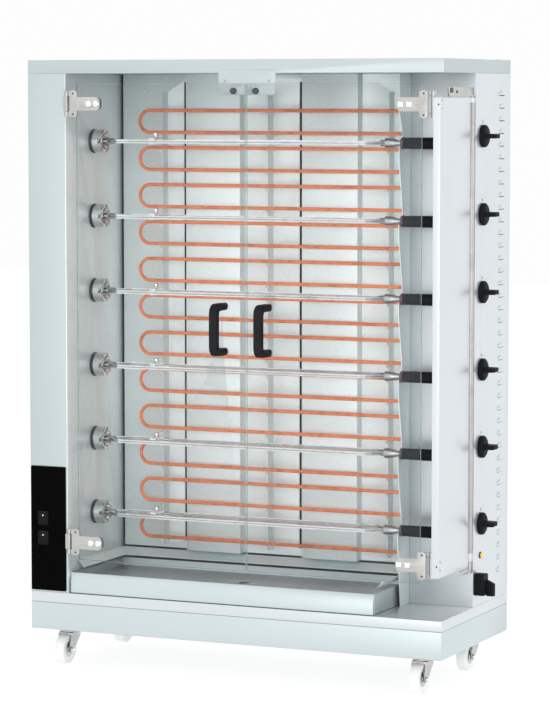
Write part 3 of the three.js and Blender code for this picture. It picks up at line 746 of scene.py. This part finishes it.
class OVEN_OT_column(Operator):
    """Left column, the liner beside it and its fixed hinge halves."""

    bl_idname = "oven.column"
    bl_label = "Left column"

    def execute(self, context):
        sheet = softened("left_column", 1.4, 3)
        place(sheet, "column_sheet", "cabinet", "stainless_upright", "left_column")
        wall = place(softened("left_liner", 0.7), "left_wall", "cabinet", "liner", "left_liner")
        plated(wall)
        places = [(-SIDE, y, z) for y in (25, 445) for z in (130, 600, 1000, 1395)]
        heads = [screw("x", centre, 3.4, 1.6, -1) for centre in places]
        place(weld(*heads), "column_screws", "cabinet", "zinc")
        # Dark rings on the column wall at each chuck's foot: painted shade standing in for the dark groove
        # line there.
        shade_rings = [turned("x", (COLUMN_WALL, SPIT_Y, spit_height(n)), [
            (12.5, -0.6), (30.5, -0.6), (31.2, 0.2), (31.2, 0.9), (30.5, 1.5), (13.5, 1.5),
            (12.5, 0.6), (12.5, -0.6),
        ], 36) for n in range(SPITS)]
        place(weld(*shade_rings), "shaft_rings", "cabinet", "dark_metal")
        return {"FINISHED"}


class OVEN_OT_rear_wall(Operator):
    """Rear wall with its channels and dark slots, rails, and the right wall's comb."""

    bl_idname = "oven.rear_wall"
    bl_label = "Cavity walls"

    def execute(self, context):
        place(softened("rear_liner", 0.5), "rear_wall", "cabinet", "liner", "rear_liner")
        place(softened("right_liner", 0.6), "spit_comb", "cabinet", "liner", "right_liner")
        gaps = ((-458, -451), (-277, -255), (50.5, 72.5))
        slots = [block((left, 314, 196), (right, 318, 1410), 0.3) for left, right in gaps]
        place(weld(*slots), "slot_shadow", "cabinet", "shadow")
        ear = outline("x", [
            (266, -3), (277, -3), (280, -9), (280, 6), (273, 9), (270.5, 5), (271, 3), (266, 3),
        ], (-1.6, 1.6))
        round_edges(ear, 0.5, 1)
        ears = []
        for x in (-322, -22, 312):
            for n in range(ELEMENTS):
                for half in (HAIRPIN_HALF, -HAIRPIN_HALF):
                    ears.append(again(ear, (x, 0, TOP_ELEMENT - ELEMENT_PITCH * n + half - 8.5)))
        bpy.data.objects.remove(ear)
        place(weld(*ears), "rail_ears", "cabinet", "polished")
        places = [(x, REAR_WALL, z) for x in (-390, 352) for z in (230, 620, 1010, 1380)]
        rivets = [screw("y", centre, 3.2, 1.4, -1) for centre in places]
        place(weld(*rivets), "wall_rivets", "cabinet", "polished")
        return {"FINISHED"}


class OVEN_OT_housing(Operator):
    """Side wall with the handle bay's back, its pressed louvres, and the rear cover."""

    bl_idname = "oven.housing"
    bl_label = "Side wall and louvres"

    def execute(self, context):
        sizes, counts = context.scene.oven_sizes, context.scene.oven_counts
        # The side wall and its louvres take the lighter side finish: painted light.
        place(softened("control_housing", 1.3, 3), "side_wall", "cabinet", "side", "control_housing")
        place(softened("rear_cover", 1.2), "rear_sheet", "cabinet", "stainless_upright", "rear_cover")
        for name, way in (("right_louvres", 1), ("left_louvres", -1)):
            hood, shade = self.louvre(sizes, way)
            for part, title, finish in ((hood, name, "side"), (shade, name + "_openings", "shadow")):
                modify(
                    part, "ARRAY", count=counts.louvres, use_relative_offset=False,
                    use_constant_offset=True, constant_offset_displace=(0, 0, -sizes.louvre_pitch),
                )
                place(part, title, "cabinet", finish)
        places = [(x, BACK, z) for x in (-545, -180, 180, 545) for z in (120, 760, 1400)]
        heads = [screw("y", centre, 3.8, 1.8) for centre in places]
        place(weld(*heads), "rear_screws", "cabinet", "zinc")
        # Black strips on the rear cover where its vent slots are: painted shade in the slots.
        vent_shades = [
            block((x - 60, BACK - 0.4, z - 2.5), (x + 60, BACK + 0.5, z + 2.5), 0.4)
            for z in range(1180, 1381, 20) for x in (-330, 330)
        ]
        place(weld(*vent_shades), "rear_vents", "cabinet", "shadow")
        return {"FINISHED"}

    def louvre(self, sizes, way):
        """A pressed hood, open below, and a thin black block under it: painted shade in the opening."""
        x, y, top = way * SIDE, 408, 1369
        bpy.ops.object.select_all(action="DESELECT")
        bpy.ops.mesh.primitive_uv_sphere_add(segments=20, ring_count=12, radius=1, location=(0, 0, 0))
        hood = bpy.context.object
        bpy.ops.object.mode_set(mode="EDIT")
        bpy.ops.mesh.select_all(action="SELECT")
        bpy.ops.transform.resize(value=(4.6 * MM, sizes.louvre_width / 2, sizes.louvre_height))
        bpy.ops.mesh.bisect(plane_co=(0, 0, 0), plane_no=(way, 0, 0), clear_inner=True)
        bpy.ops.mesh.select_all(action="SELECT")
        bpy.ops.mesh.bisect(plane_co=(0, 0, 0), plane_no=(0, 0, 1), clear_inner=True)
        bpy.ops.mesh.select_all(action="SELECT")
        bpy.ops.transform.translate(value=at(x, y, top))
        done()
        modify(hood, "SOLIDIFY", thickness=0.7 * MM, offset=-1)
        bpy.ops.object.shade_smooth_by_angle(angle=math.radians(40))
        inner, outer = sorted((x - way, x + way * 0.6))
        # A thin black block just proud of the wall under the hood: painted shade.
        shade = block((inner, y - 17, top - 2.0), (outer, y + 17, top + 0.6), 0.25, 1)
        return hood, shade


# ---- heating, spits and their drive ------------------------------------------------


class OVEN_OT_elements(Operator):
    """Twelve hairpin heating elements, their terminal sleeves and strips."""

    bl_idname = "oven.elements"
    bl_label = "Heating elements"

    def execute(self, context):
        radius = context.scene.oven_sizes.element_radius / MM
        pin = self.hairpin(radius)
        pins = [again(pin, (0, 0, -ELEMENT_PITCH * n)) for n in range(ELEMENTS)]
        bpy.data.objects.remove(pin)
        banks = ("element_bank_upper", "element_bank_lower")
        place(weld(*pins), "heating_tubes", "cabinet", "element", *banks)
        bore, barrel, ridge = radius + 0.15, radius + 1.9, radius + 3.4
        sleeve = turned("x", (0, ELEMENT_Y, TOP_ELEMENT), [
            (bore, 372), (radius + 1.6, 372.4), (barrel, 373), (barrel, 379), (ridge, 380),
            (ridge, 385), (barrel, 386), (barrel, 391.7), (bore, 391.7), (bore, 372),
        ], 20)
        sleeves = [
            again(sleeve, (0, 0, rise - ELEMENT_PITCH * n))
            for n in range(ELEMENTS) for rise in (HAIRPIN_HALF, -HAIRPIN_HALF)
        ]
        bpy.data.objects.remove(sleeve)
        place(weld(*sleeves), "element_sleeves", "cabinet", "polished")
        reaches = ((782, 1339), (205, 762))
        strips = [block((388.6, 259.5, low), (391.6, 283.5, high), 0.5) for low, high in reaches]
        place(weld(*strips), "terminal_strips", "cabinet", "liner")
        return {"FINISHED"}

    def hairpin(self, radius):
        """A ring of corners pulled along one leg, round the bend and back."""
        leg = (HAIRPIN_END - HAIRPIN_BEND) * MM
        bpy.ops.object.select_all(action="DESELECT")
        bpy.ops.mesh.primitive_circle_add(vertices=14, radius=radius * MM, location=(0, 0, 0))
        pin = bpy.context.object
        bpy.ops.object.mode_set(mode="EDIT")
        bpy.ops.mesh.select_all(action="SELECT")
        bpy.ops.transform.rotate(value=math.pi / 2, orient_axis="Y", center_override=(0, 0, 0))
        bpy.ops.transform.translate(value=at(HAIRPIN_END, ELEMENT_Y, TOP_ELEMENT + HAIRPIN_HALF))
        bpy.ops.mesh.extrude_region_move(TRANSFORM_OT_translate={"value": (-leg, 0, 0)})
        bend = at(HAIRPIN_BEND, ELEMENT_Y, TOP_ELEMENT)
        bpy.ops.mesh.spin(steps=20, angle=math.pi, center=bend, axis=(0, 1, 0))
        bpy.ops.mesh.extrude_region_move(TRANSFORM_OT_translate={"value": (leg, 0, 0)})
        bpy.ops.mesh.select_all(action="SELECT")
        bpy.ops.mesh.remove_doubles(threshold=1e-6)
        bpy.ops.mesh.select_all(action="DESELECT")
        bpy.ops.mesh.select_non_manifold()
        bpy.ops.mesh.edge_face_add()
        bpy.ops.mesh.select_all(action="SELECT")
        bpy.ops.mesh.normals_make_consistent(inside=False)
        done()
        bpy.ops.object.shade_smooth_by_angle(angle=math.radians(50))
        return pin


class OVEN_OT_spit_drive(Operator):
    """Six castellated drive chucks, and the chain and motor in the column."""

    bl_idname = "oven.spit_drive"
    bl_label = "Spit drive"

    def execute(self, context):
        half_slot, reach = 6, 43
        for number in range(1, SPITS + 1):
            height = spit_height(number - 1)
            drum = turned("x", (COLUMN_WALL, SPIT_Y, height), [
                (0, -61), (26, -61), (28, -60), (28, -57), (26, -56), (8, -56), (8, 2), (23, 2), (24, 3),
                (24, 6), (28.6, 7.5), (30, 9), (30, 32.6), (28.8, 34), (22.4, 34), (21, 32.6),
                (21, 21), (0, 21),
            ], 40)
            for across, up in ((reach, half_slot), (half_slot, reach)):
                low = (-433, SPIT_Y - across, height - up)
                high = (-423, SPIT_Y + across, height + up)
                drill(drum, block(low, high, 1.2))
            round_edges(drum, 0.5, 1, 50)
            body = "chuck_%d" % number
            place(drum, "chuck_drum_%d" % number, body, "chuck", "drive_" + body)
        place(softened("drive_chain", 0.8), "chain_loop", "cabinet", "dark_metal", "drive_chain")
        place(softened("drive_motor", 2.0, 3), "motor_case", "cabinet", "dark_metal", "drive_motor")
        return {"FINISHED"}


class OVEN_OT_spits(Operator):
    """Six spits: folded blade, thumb-screwed stop, cone, neck, collar and black grip."""

    bl_idname = "oven.spits"
    bl_label = "Spits"

    def execute(self, context):
        sizes = context.scene.oven_sizes
        half, grip = sizes.blade_width / MM, sizes.grip_radius / MM
        for number in range(1, SPITS + 1):
            height = spit_height(number - 1)
            body = "spit_%d" % number
            web = outline("z", self.blade(half - 1.0), (height - 1.1, height + 0.9))
            place(round_edges(web, 0.4, 1), "spit_web_%d" % number, body, "blade")
            rims = [
                self.rim(height, half, side, reach)
                for side in (1, -1)
                for reach in ((-4.4, -1.2), (1.0, 4.5))
            ]
            rod = turned("x", (0, SPIT_Y, height), [
                (0, -431), (6.5, -431), (8, -429), (8, -402), (6, -398), (0, -398),
            ], 24)
            cone = turned("x", (0, SPIT_Y, height), [
                (0, 338), (5, 338), (8, 341), (8, 351), (12.2, 354), (13, 356.5), (11, 376),
                (7.6, 386), (7.3, 396.6), (0, 396.6),
            ], 32)
            place(weld(*rims), "spit_blade_%d" % number, body, "polished", body)
            place(weld(rod, cone), "spit_shank_%d" % number, body, "blade")
            place(self.stop(height), "spit_stop_%d" % number, body, "polished")
            ring = turned("x", (0, SPIT_Y, height), [
                (7.4, 395.5), (12.6, 395.5), (14.2, 396.6), (14.8, 398), (14.8, 402.4), (13.6, 403.4),
                (7.4, 403.4), (7.4, 395.5),
            ], 32)
            place(ring, "spit_collar_%d" % number, body, "collar")
            handle = turned("x", (0, SPIT_Y, height), [
                (0, 403.6), (12.2, 403.6), (13.4, 404.6), (13.8, 407), (grip - 0.4, 430), (grip, 470),
                (grip, 498), (grip - 0.5, 508), (grip - 1.8, 513), (grip - 4.6, 516.2), (6, 517), (0, 517),
            ], 32)
            place(handle, "spit_grip_%d" % number, body, "black_plastic")
        return {"FINISHED"}

    def blade(self, edge):
        """The flat blade's outline, tapered at both ends."""
        corners = [
            (-416, -10), (-372, -edge), (316, -edge), (356, -10),
            (356, 10), (316, edge), (-372, edge), (-416, 10),
        ]
        return [(x, SPIT_Y + y) for x, y in corners]

    def rim(self, height, half, side, reach):
        """One folded edge of the blade, a thin strip that follows its long side."""
        outer = [(-414, 10), (-372, half), (316, half), (354, 10)]
        inner = [(354, 8.2), (315.4, half - 1.9), (-371.4, half - 1.9), (-414, 8.2)]
        corners = [(x, SPIT_Y + side * y) for x, y in outer + inner]
        strip = outline("z", corners, (height + reach[0], height + reach[1]))
        return round_edges(strip, 0.45, 2)

    def stop(self, height):
        """A sliding fork: a clamp block with its thumb screw and two prongs."""
        x = -280
        clamp_top = height - 2.9 + 13
        clamp = block((x - 8, SPIT_Y - 25, height - 8), (x + 8, SPIT_Y + 25, clamp_top), 1.4, 3)
        screw_stem = turned("z", (x, SPIT_Y, height + 9), [(0, 0), (3, 0), (3, 7), (0, 7)], 16)
        wing = turned("z", (x, SPIT_Y, height + 14), [
            (0, 0), (5.5, 0), (7, 1.2), (7, 6.5), (5.8, 8), (0, 8),
        ], 10, 20)
        prongs = [turned("x", (0, SPIT_Y + side, height + 2.2), [
            (0, -274), (2.2, -274), (2.2, -236), (1.2, -231), (0, -228.5),
        ], 14) for side in (-17, 17)]
        return weld(clamp, screw_stem, wing, *prongs)


# ---- controls ----------------------------------------------------------------------


class OVEN_OT_knobs(Operator):
    """Six control knobs with a tapered level blade, a pointer and a tick above each."""

    bl_idname = "oven.knobs"
    bl_label = "Knobs"

    def execute(self, context):
        radius = context.scene.oven_sizes.knob_radius / MM
        for number in range(1, SPITS + 1):
            height = knob_height(number - 1)
            body = "knob_%d" % number
            skirt = turned("x", (SIDE, KNOB_Y, height), [
                (0, 0.6), (radius - 0.8, 0.6), (radius, 1.6), (radius, 6.5), (radius - 1.2, 8.6),
                (radius - 5.4, 11.4), (radius - 8, 12.2), (0, 12.2),
            ], 44)
            blade = outline("z", [
                (571, 245.5), (601, 250.5), (604.2, 253.4), (605, 257),
                (605, 283), (604.2, 286.6), (601, 289.5), (571, 294.5),
            ], (height - 5.6, height + 5.6))
            round_edges(blade, 2.0, 4)
            stem = turned("x", (SIDE, KNOB_Y, height), [(0, -13), (3.6, -13), (3.6, 1), (0, 1)], 16)
            place(weld(stem, blade, skirt), "knob_body_%d" % number, body, "black_plastic", body)
            pointer = outline("x", [
                (266.6, height - 24.2), (273.4, height - 24.2), (270, height - 18.5),
            ], (573.6, 574.7))
            place(round_edges(pointer, 0.25, 1), "knob_pointer_%d" % number, body, "white_mark")
        low, high = TOP_KNOB + 33, TOP_KNOB + 39
        corners = [(268.9, low), (271.1, low), (271.1, high), (268.9, high)]
        tick = outline("x", corners, (564.9, 565.35))
        ticks = [again(tick, (0, 0, -KNOB_PITCH * n)) for n in range(SPITS)]
        bpy.data.objects.remove(tick)
        place(weld(*ticks), "knob_ticks", "cabinet", "shadow")
        return {"FINISHED"}


class OVEN_OT_switches(Operator):
    """Main switch block and grip, pilot lamp, glossy panel and its two rockers."""

    bl_idname = "oven.switches"
    bl_label = "Switches"

    def execute(self, context):
        base, grip = softened("switch_base", 3.0, 4), softened("main_switch", 1.8, 3)
        place(base, "switch_block", "cabinet", "black_plastic", "switch_base")
        place(grip, "switch_grip", "main_switch", "black_plastic", "main_switch")
        lamp = (SIDE, KNOB_Y, 222)
        lens = turned("x", lamp, [
            (0, -19), (4.4, -19), (4.4, 0.4), (6.3, 0.4), (6.7, 1.4), (6.5, 2.9), (5.4, 4.4),
            (3.4, 5.4), (0, 5.8),
        ], 28)
        place(lens, "lamp_lens", "cabinet", "amber_lens", "pilot_lamp")
        rim = turned("x", lamp, [
            (6.8, 0.1), (8.4, 0.1), (8.4, 1.0), (7.9, 1.6), (7.1, 1.6), (6.8, 1.2), (6.8, 0.1),
        ], 28)
        place(rim, "lamp_rim", "cabinet", "black_plastic")
        place(softened("control_panel", 0.6, 2), "panel_plate", "cabinet", "black_panel", "control_panel")
        for title, height in ROCKER_HEIGHTS.items():
            body = "rocker_" + title
            place(softened(body, 0.8, 3), "rocker_key_" + title, body, "black_plastic", body)
            dot = turned("y", (-528, -4.3, height + 7), [
                (0, -0.5), (1.7, -0.5), (1.9, -0.2), (1.9, 0.6), (0, 0.6),
            ], 16)
            place(dot, "rocker_dot_" + title, body, "white_mark")
            ring = outline("y", rounded((-543, -513), (height - 18, height + 18), 3), (-3.6, -2.3))
            hole = outline("y", rounded((-540.4, -515.6), (height - 15.6, height + 15.6), 1.5), (-5, 0))
            rim = round_edges(drill(ring, hole), 0.4)
            place(rim, "rocker_frame_" + title, "cabinet", "black_plastic")
        return {"FINISHED"}


# ---- doors -------------------------------------------------------------------------


class OVEN_OT_doors(Operator):
    """Two glass doors with green edges, clamp hinges and black bow handles."""

    bl_idname = "oven.doors"
    bl_label = "Glass doors"

    def execute(self, context):
        for side, hinge_x, inward, bolts, handle_x in (
            ("left", -449, 1, (-382, -361), -10),
            ("right", 542, -1, (461, 483), 110),
        ):
            body = side + "_door"
            self.pane(side, body)
            for title, height in HINGE_HEIGHTS.items():
                node = "hinge_%s_%s" % (side, title)
                plate = softened(node, 0.9, 3, 40)
                place(plate, node + "_plate", body, "zinc", node)
                if side == "left":
                    caps = [turned("y", (x, -18.0, height), [
                        (0, 0.2), (8.2, 0.2), (8.6, -0.8), (8.0, -2.4), (5.6, -3.4), (0, -3.8),
                    ], 28) for x in bolts]
                else:
                    caps = [
                        block((x - 7, -21.8, height - 7), (x + 7, -17.9, height + 7), 1.1, 3)
                        for x in bolts
                    ]
                place(weld(*caps), node + "_bolts", body, "polished")
                backs = [bolt("y", (x, -5.9, height), 5, 3.4) for x in bolts]
                place(weld(*backs), node + "_nuts", body, "zinc")
                # Dark discs on the hinge plates: painted shade in the pin holes.
                hole_shades = [turned("y", (hinge_x + inward * 22, -18.0, height + rise), [
                    (0, 0.1), (2.4, 0.1), (2.4, -0.25), (0, -0.3),
                ], 18) for rise in (-26, 26)]
                place(weld(*hole_shades), node + "_pin_holes", body, "shadow")
            self.handle(side, body, handle_x)
        return {"FINISHED"}

    def pane(self, side, body):
        pane = softened("door_glass_" + side, 1.0, 2)
        pane.data.materials.clear()
        pane.data.materials.append(bpy.data.materials["Door glass"])
        pane.data.materials.append(bpy.data.materials["Glass edge"])
        for face in pane.data.polygons:
            face.material_index = 0 if abs(face.normal.y) > 0.95 else 1
        place(pane, "glass_pane_" + side, body, "door_glass", "door_glass_" + side)

    def handle(self, side, body, x):
        """A bow bent from one flat bar with rounded corners, on two round washers."""
        low, high = HANDLE_MIDDLE - HANDLE_HALF, HANDLE_MIDDLE + HANDLE_HALF
        foot, inner, outer, bar = -15.1, 10, 24, 18
        out, over = -52, -80 + outer
        corners = [(foot, low), (foot, low + bar)]
        corners += bend(out, low + bar + inner, inner, 270, 180)
        corners += bend(out, high - bar - inner, inner, 180, 90)
        corners += [(foot, high - bar), (foot, high)]
        corners += bend(over, high - outer, outer, 90, 180) + bend(over, low + outer, outer, 180, 270)
        bow = outline("x", corners, (x - 11, x + 11))
        round_edges(bow, 3.6, 4)
        place(bow, "door_bow_" + side, body, "black_plastic", "door_handle_" + side)
        heads = []
        for z in (HANDLE_MIDDLE - 56, HANDLE_MIDDLE + 56):
            heads.append(turned("y", (x, -8.4, z), [
                (0, 0), (8.6, 0), (9, 0.5), (9, 1.6), (6.4, 3.2), (0, 3.8),
            ], 24))
            heads.append(turned("y", (x, -14.9, z), [(0, -0.5), (3.4, -0.5), (3.4, 8), (0, 8)], 16))
        place(weld(*heads), "door_bow_screws_" + side, body, "zinc")


class OVEN_OT_side_door(Operator):
    """The bent side door with its hinge barrels and screws, and its fixed post."""

    bl_idname = "oven.side_door"
    bl_label = "Side door"

    def execute(self, context):
        # The side door takes the lighter side finish: painted light.
        sheet = place(softened("side_door", 0.9, 3), "side_door_sheet", "side_door", "side", "side_door")
        plated(sheet)
        heads = []
        for height in HINGE_HEIGHTS.values():
            heads += [screw("x", (563, -6, height + rise), 3.0, 1.4) for rise in (-10, 10)]
        place(weld(*heads), "side_door_screws", "side_door", "zinc")
        # Dark discs on the side door's hinges: painted shade in the pin holes.
        hole_shades = [turned("y", (558.5, -18, z), [
            (0, 0.2), (2.2, 0.2), (2.2, -0.3), (0, -0.35),
        ], 16) for z in HINGE_HEIGHTS.values()]
        place(weld(*hole_shades), "side_door_holes", "side_door", "shadow")
        place(softened("side_door_post", 0.5), "post", "cabinet", "zinc", "side_door_post")
        nut = block((553, 56, 1375), (563, 70, 1387), 0.8)
        head = screw("x", (560, 100, 1377), 4, 2)
        place(weld(nut, head), "post_fixings", "cabinet", "dark_metal")
        return {"FINISHED"}


# ---- dripping ----------------------------------------------------------------------


class OVEN_OT_drip_tray(Operator):
    """Drip drawer with its leaning front, the perforated grid and the sloping skirts."""

    bl_idname = "oven.drip_tray"
    bl_label = "Drip tray"

    def execute(self, context):
        place(softened("drip_tray", 0.8), "tray_box", "drip_tray", "stainless", "drip_tray")
        # The tray front takes the lighter plinth copy of the stainless: painted light.
        front = softened("drip_tray_front", 1.0, 3)
        place(front, "tray_front", "drip_tray", "stainless_low", "drip_tray_front")
        place(softened("drip_funnel", 0.4), "skirts", "cabinet", "liner", "drip_funnel")
        self.grid(context.scene)
        return {"FINISHED"}

    def grid(self, scene):
        """A flat sheet with round holes, two folded feet and a ringed finger hole."""
        low, high = at(-449, 19, GRID_TOP), at(381, 297, GRID_TOP)
        sheet = self.perforated(scene, low, high)
        finger = at(-34, 158, GRID_TOP)
        choose(sheet, "polygons", lambda f: (f.center - finger).length < 0.019)
        bpy.ops.mesh.delete(type="FACE")
        done()
        collar = turned("z", (-34, 158, GRID_TOP), [
            (15, -1.2), (33, -1.2), (33, 1.0), (31, 1.5), (17, 1.5), (15, 0.6), (15, -1.2),
        ], 36)
        choose(sheet, "edges", lambda e: (
            abs(edge_middle(sheet, e).x - low.x) < 1e-5 or abs(edge_middle(sheet, e).x - high.x) < 1e-5
        ))
        drop = (0, 0, -(GRID_TOP - GRID_FOOT) * MM)
        bpy.ops.mesh.extrude_region_move(TRANSFORM_OT_translate={"value": drop})
        done()
        modify(sheet, "SOLIDIFY", thickness=1.5 * MM, offset=0)
        # The grid takes the lighter side finish: painted light that sets it off against the tray below.
        place(weld(collar, sheet), "grid_sheet", "drip_tray", "side", "drip_grid")

    def perforated(self, scene, low, high):
        """A flat sheet with one round hole at every inner corner of its lattice."""
        columns, rows = scene.oven_counts.grid_columns, scene.oven_counts.grid_rows
        hole = scene.oven_sizes.grid_hole
        bpy.ops.object.select_all(action="DESELECT")
        bpy.ops.mesh.primitive_grid_add(
            x_subdivisions=columns, y_subdivisions=rows, size=1, location=(0, 0, 0)
        )
        sheet = bpy.context.object
        bpy.ops.object.mode_set(mode="EDIT")
        bpy.ops.mesh.select_all(action="SELECT")
        bpy.ops.transform.resize(value=(high.x - low.x, high.y - low.y, 1))
        bpy.ops.transform.translate(value=(low + high) / 2)
        done()
        margin = 0.004
        choose(sheet, "vertices", lambda v: (
            low.x + margin < v.co.x < high.x - margin and low.y + margin < v.co.y < high.y - margin
        ))
        bpy.ops.mesh.bevel(offset=hole, segments=3, profile=0.5, affect="VERTICES")
        done()
        small = 4.2 * hole * hole
        choose(sheet, "polygons", lambda f: f.area < small)
        bpy.ops.mesh.delete(type="FACE")
        done()
        return sheet


# ---- casters and gland -------------------------------------------------------------


class OVEN_OT_casters(Operator):
    """Four swivel casters: pressed fork, ball race, axle bolt and white wheel."""

    bl_idname = "oven.casters"
    bl_label = "Casters"

    def execute(self, context):
        for end, y in (("front", 70), ("back", 400)):
            for side, x in (("left", -490), ("right", 490)):
                name = "%s_%s" % (end, side)
                self.fork(name, x, y)
                self.wheel(name, x, y - AXLE_TRAIL)
        return {"FINISHED"}

    def fork(self, name, x, y):
        body = "caster_" + name
        fork = softened("caster_fork_" + name, 1.0, 3, 40)
        race = turned("z", (x, y, 0), [
            (12, -0.4), (27, -0.4), (28, -1.4), (28, -4.6), (25.5, -6.4), (25.5, -8), (27, -9.4),
            (27, -12.4), (24, -14.4), (12, -14.4), (12, -0.4),
        ], 40)
        place(weld(race, fork), "fork_" + name, body, "zinc", "caster_fork_" + name)
        axle_y = y - AXLE_TRAIL
        caps = [bolt("x", (x + way * 21.2, axle_y, AXLE_HEIGHT), 6, 4.4, way) for way in (1, -1)]
        place(weld(*caps), "axle_bolt_" + name, body, "polished")

    def wheel(self, name, x, y):
        tyre = turned("x", (x, y, AXLE_HEIGHT), [
            (19, -11), (24, -11.4), (31, -13), (34.5, -13.8), (36.8, -12.2), (38, -8.6), (38, 8.6),
            (36.8, 12.2), (34.5, 13.8), (31, 13), (24, 11.4), (19, 11), (19, -11),
        ], 48)
        body = "wheel_" + name
        place(tyre, "tyre_" + name, body, "white_nylon", "caster_wheel_" + name)
        hub = turned("x", (x, y, AXLE_HEIGHT), [
            (4.4, -13.6), (9, -13.6), (11, -12), (17.4, -11.6), (19, -10.4), (19, 10.4),
            (17.4, 11.6), (11, 12), (9, 13.6), (4.4, 13.6), (4.4, -13.6),
        ], 36)
        place(hub, "hub_" + name, body, "blade")


class OVEN_OT_gland(Operator):
    """The threaded gland for the supply cable, under the back of the plinth."""

    bl_idname = "oven.gland"
    bl_label = "Cable gland"

    def execute(self, context):
        collar = turned("z", (380, 440, 0), [
            (7, -20), (9.4, -20), (11, -18.6), (12, -16.4), (12, -9.4), (12.6, -9), (7, -9), (7, -20),
        ], 28)
        nut = turned("z", (380, 440, 0), [
            (7, -9), (15, -9), (16, -8), (16, -1.2), (15, -0.3), (7, -0.3), (7, -9),
        ], 6, 20)
        place(weld(collar, nut), "gland_nut", "cabinet", "black_plastic", "cable_gland")
        return {"FINISHED"}


# ---- sidebar -----------------------------------------------------------------------

STEPS = (
    OVEN_OT_finishes, OVEN_OT_stage, OVEN_OT_plinth, OVEN_OT_cover, OVEN_OT_column, OVEN_OT_rear_wall,
    OVEN_OT_housing, OVEN_OT_elements, OVEN_OT_spit_drive, OVEN_OT_spits, OVEN_OT_knobs, OVEN_OT_switches,
    OVEN_OT_doors, OVEN_OT_side_door, OVEN_OT_drip_tray, OVEN_OT_casters, OVEN_OT_gland,
)


class OVEN_PT_build(Panel):
    """Lists the oven's sizes, colours and building steps."""

    bl_idname = "OVEN_PT_build"
    bl_label = "Rotisserie oven"
    bl_space_type = "VIEW_3D"
    bl_region_type = "UI"
    bl_category = "Oven"

    def draw(self, context):
        scene = context.scene
        for title, settings in (
            ("Sizes", scene.oven_sizes), ("Counts", scene.oven_counts), ("Colours", scene.oven_colours)
        ):
            box = self.layout.box()
            box.label(text=title)
            for key in settings.bl_rna.properties.keys():
                if key not in {"rna_type", "name"}:
                    box.prop(settings, key)
        for step in STEPS:
            self.layout.operator(step.bl_idname)


CLASSES = (OvenSizes, OvenCounts, OvenColours, *STEPS, OVEN_PT_build)


def register():
    for item in CLASSES:
        bpy.utils.register_class(item)
    bpy.types.Scene.oven_sizes = PointerProperty(type=OvenSizes)
    bpy.types.Scene.oven_counts = PointerProperty(type=OvenCounts)
    bpy.types.Scene.oven_colours = PointerProperty(type=OvenColours)


def unregister():
    del bpy.types.Scene.oven_colours, bpy.types.Scene.oven_counts, bpy.types.Scene.oven_sizes
    for item in reversed(CLASSES):
        bpy.utils.unregister_class(item)


def main():
    register()
    for step in STEPS:
        group, name = step.bl_idname.split(".")
        getattr(getattr(bpy.ops, group), name)()


if __name__ == "__main__":
    main()
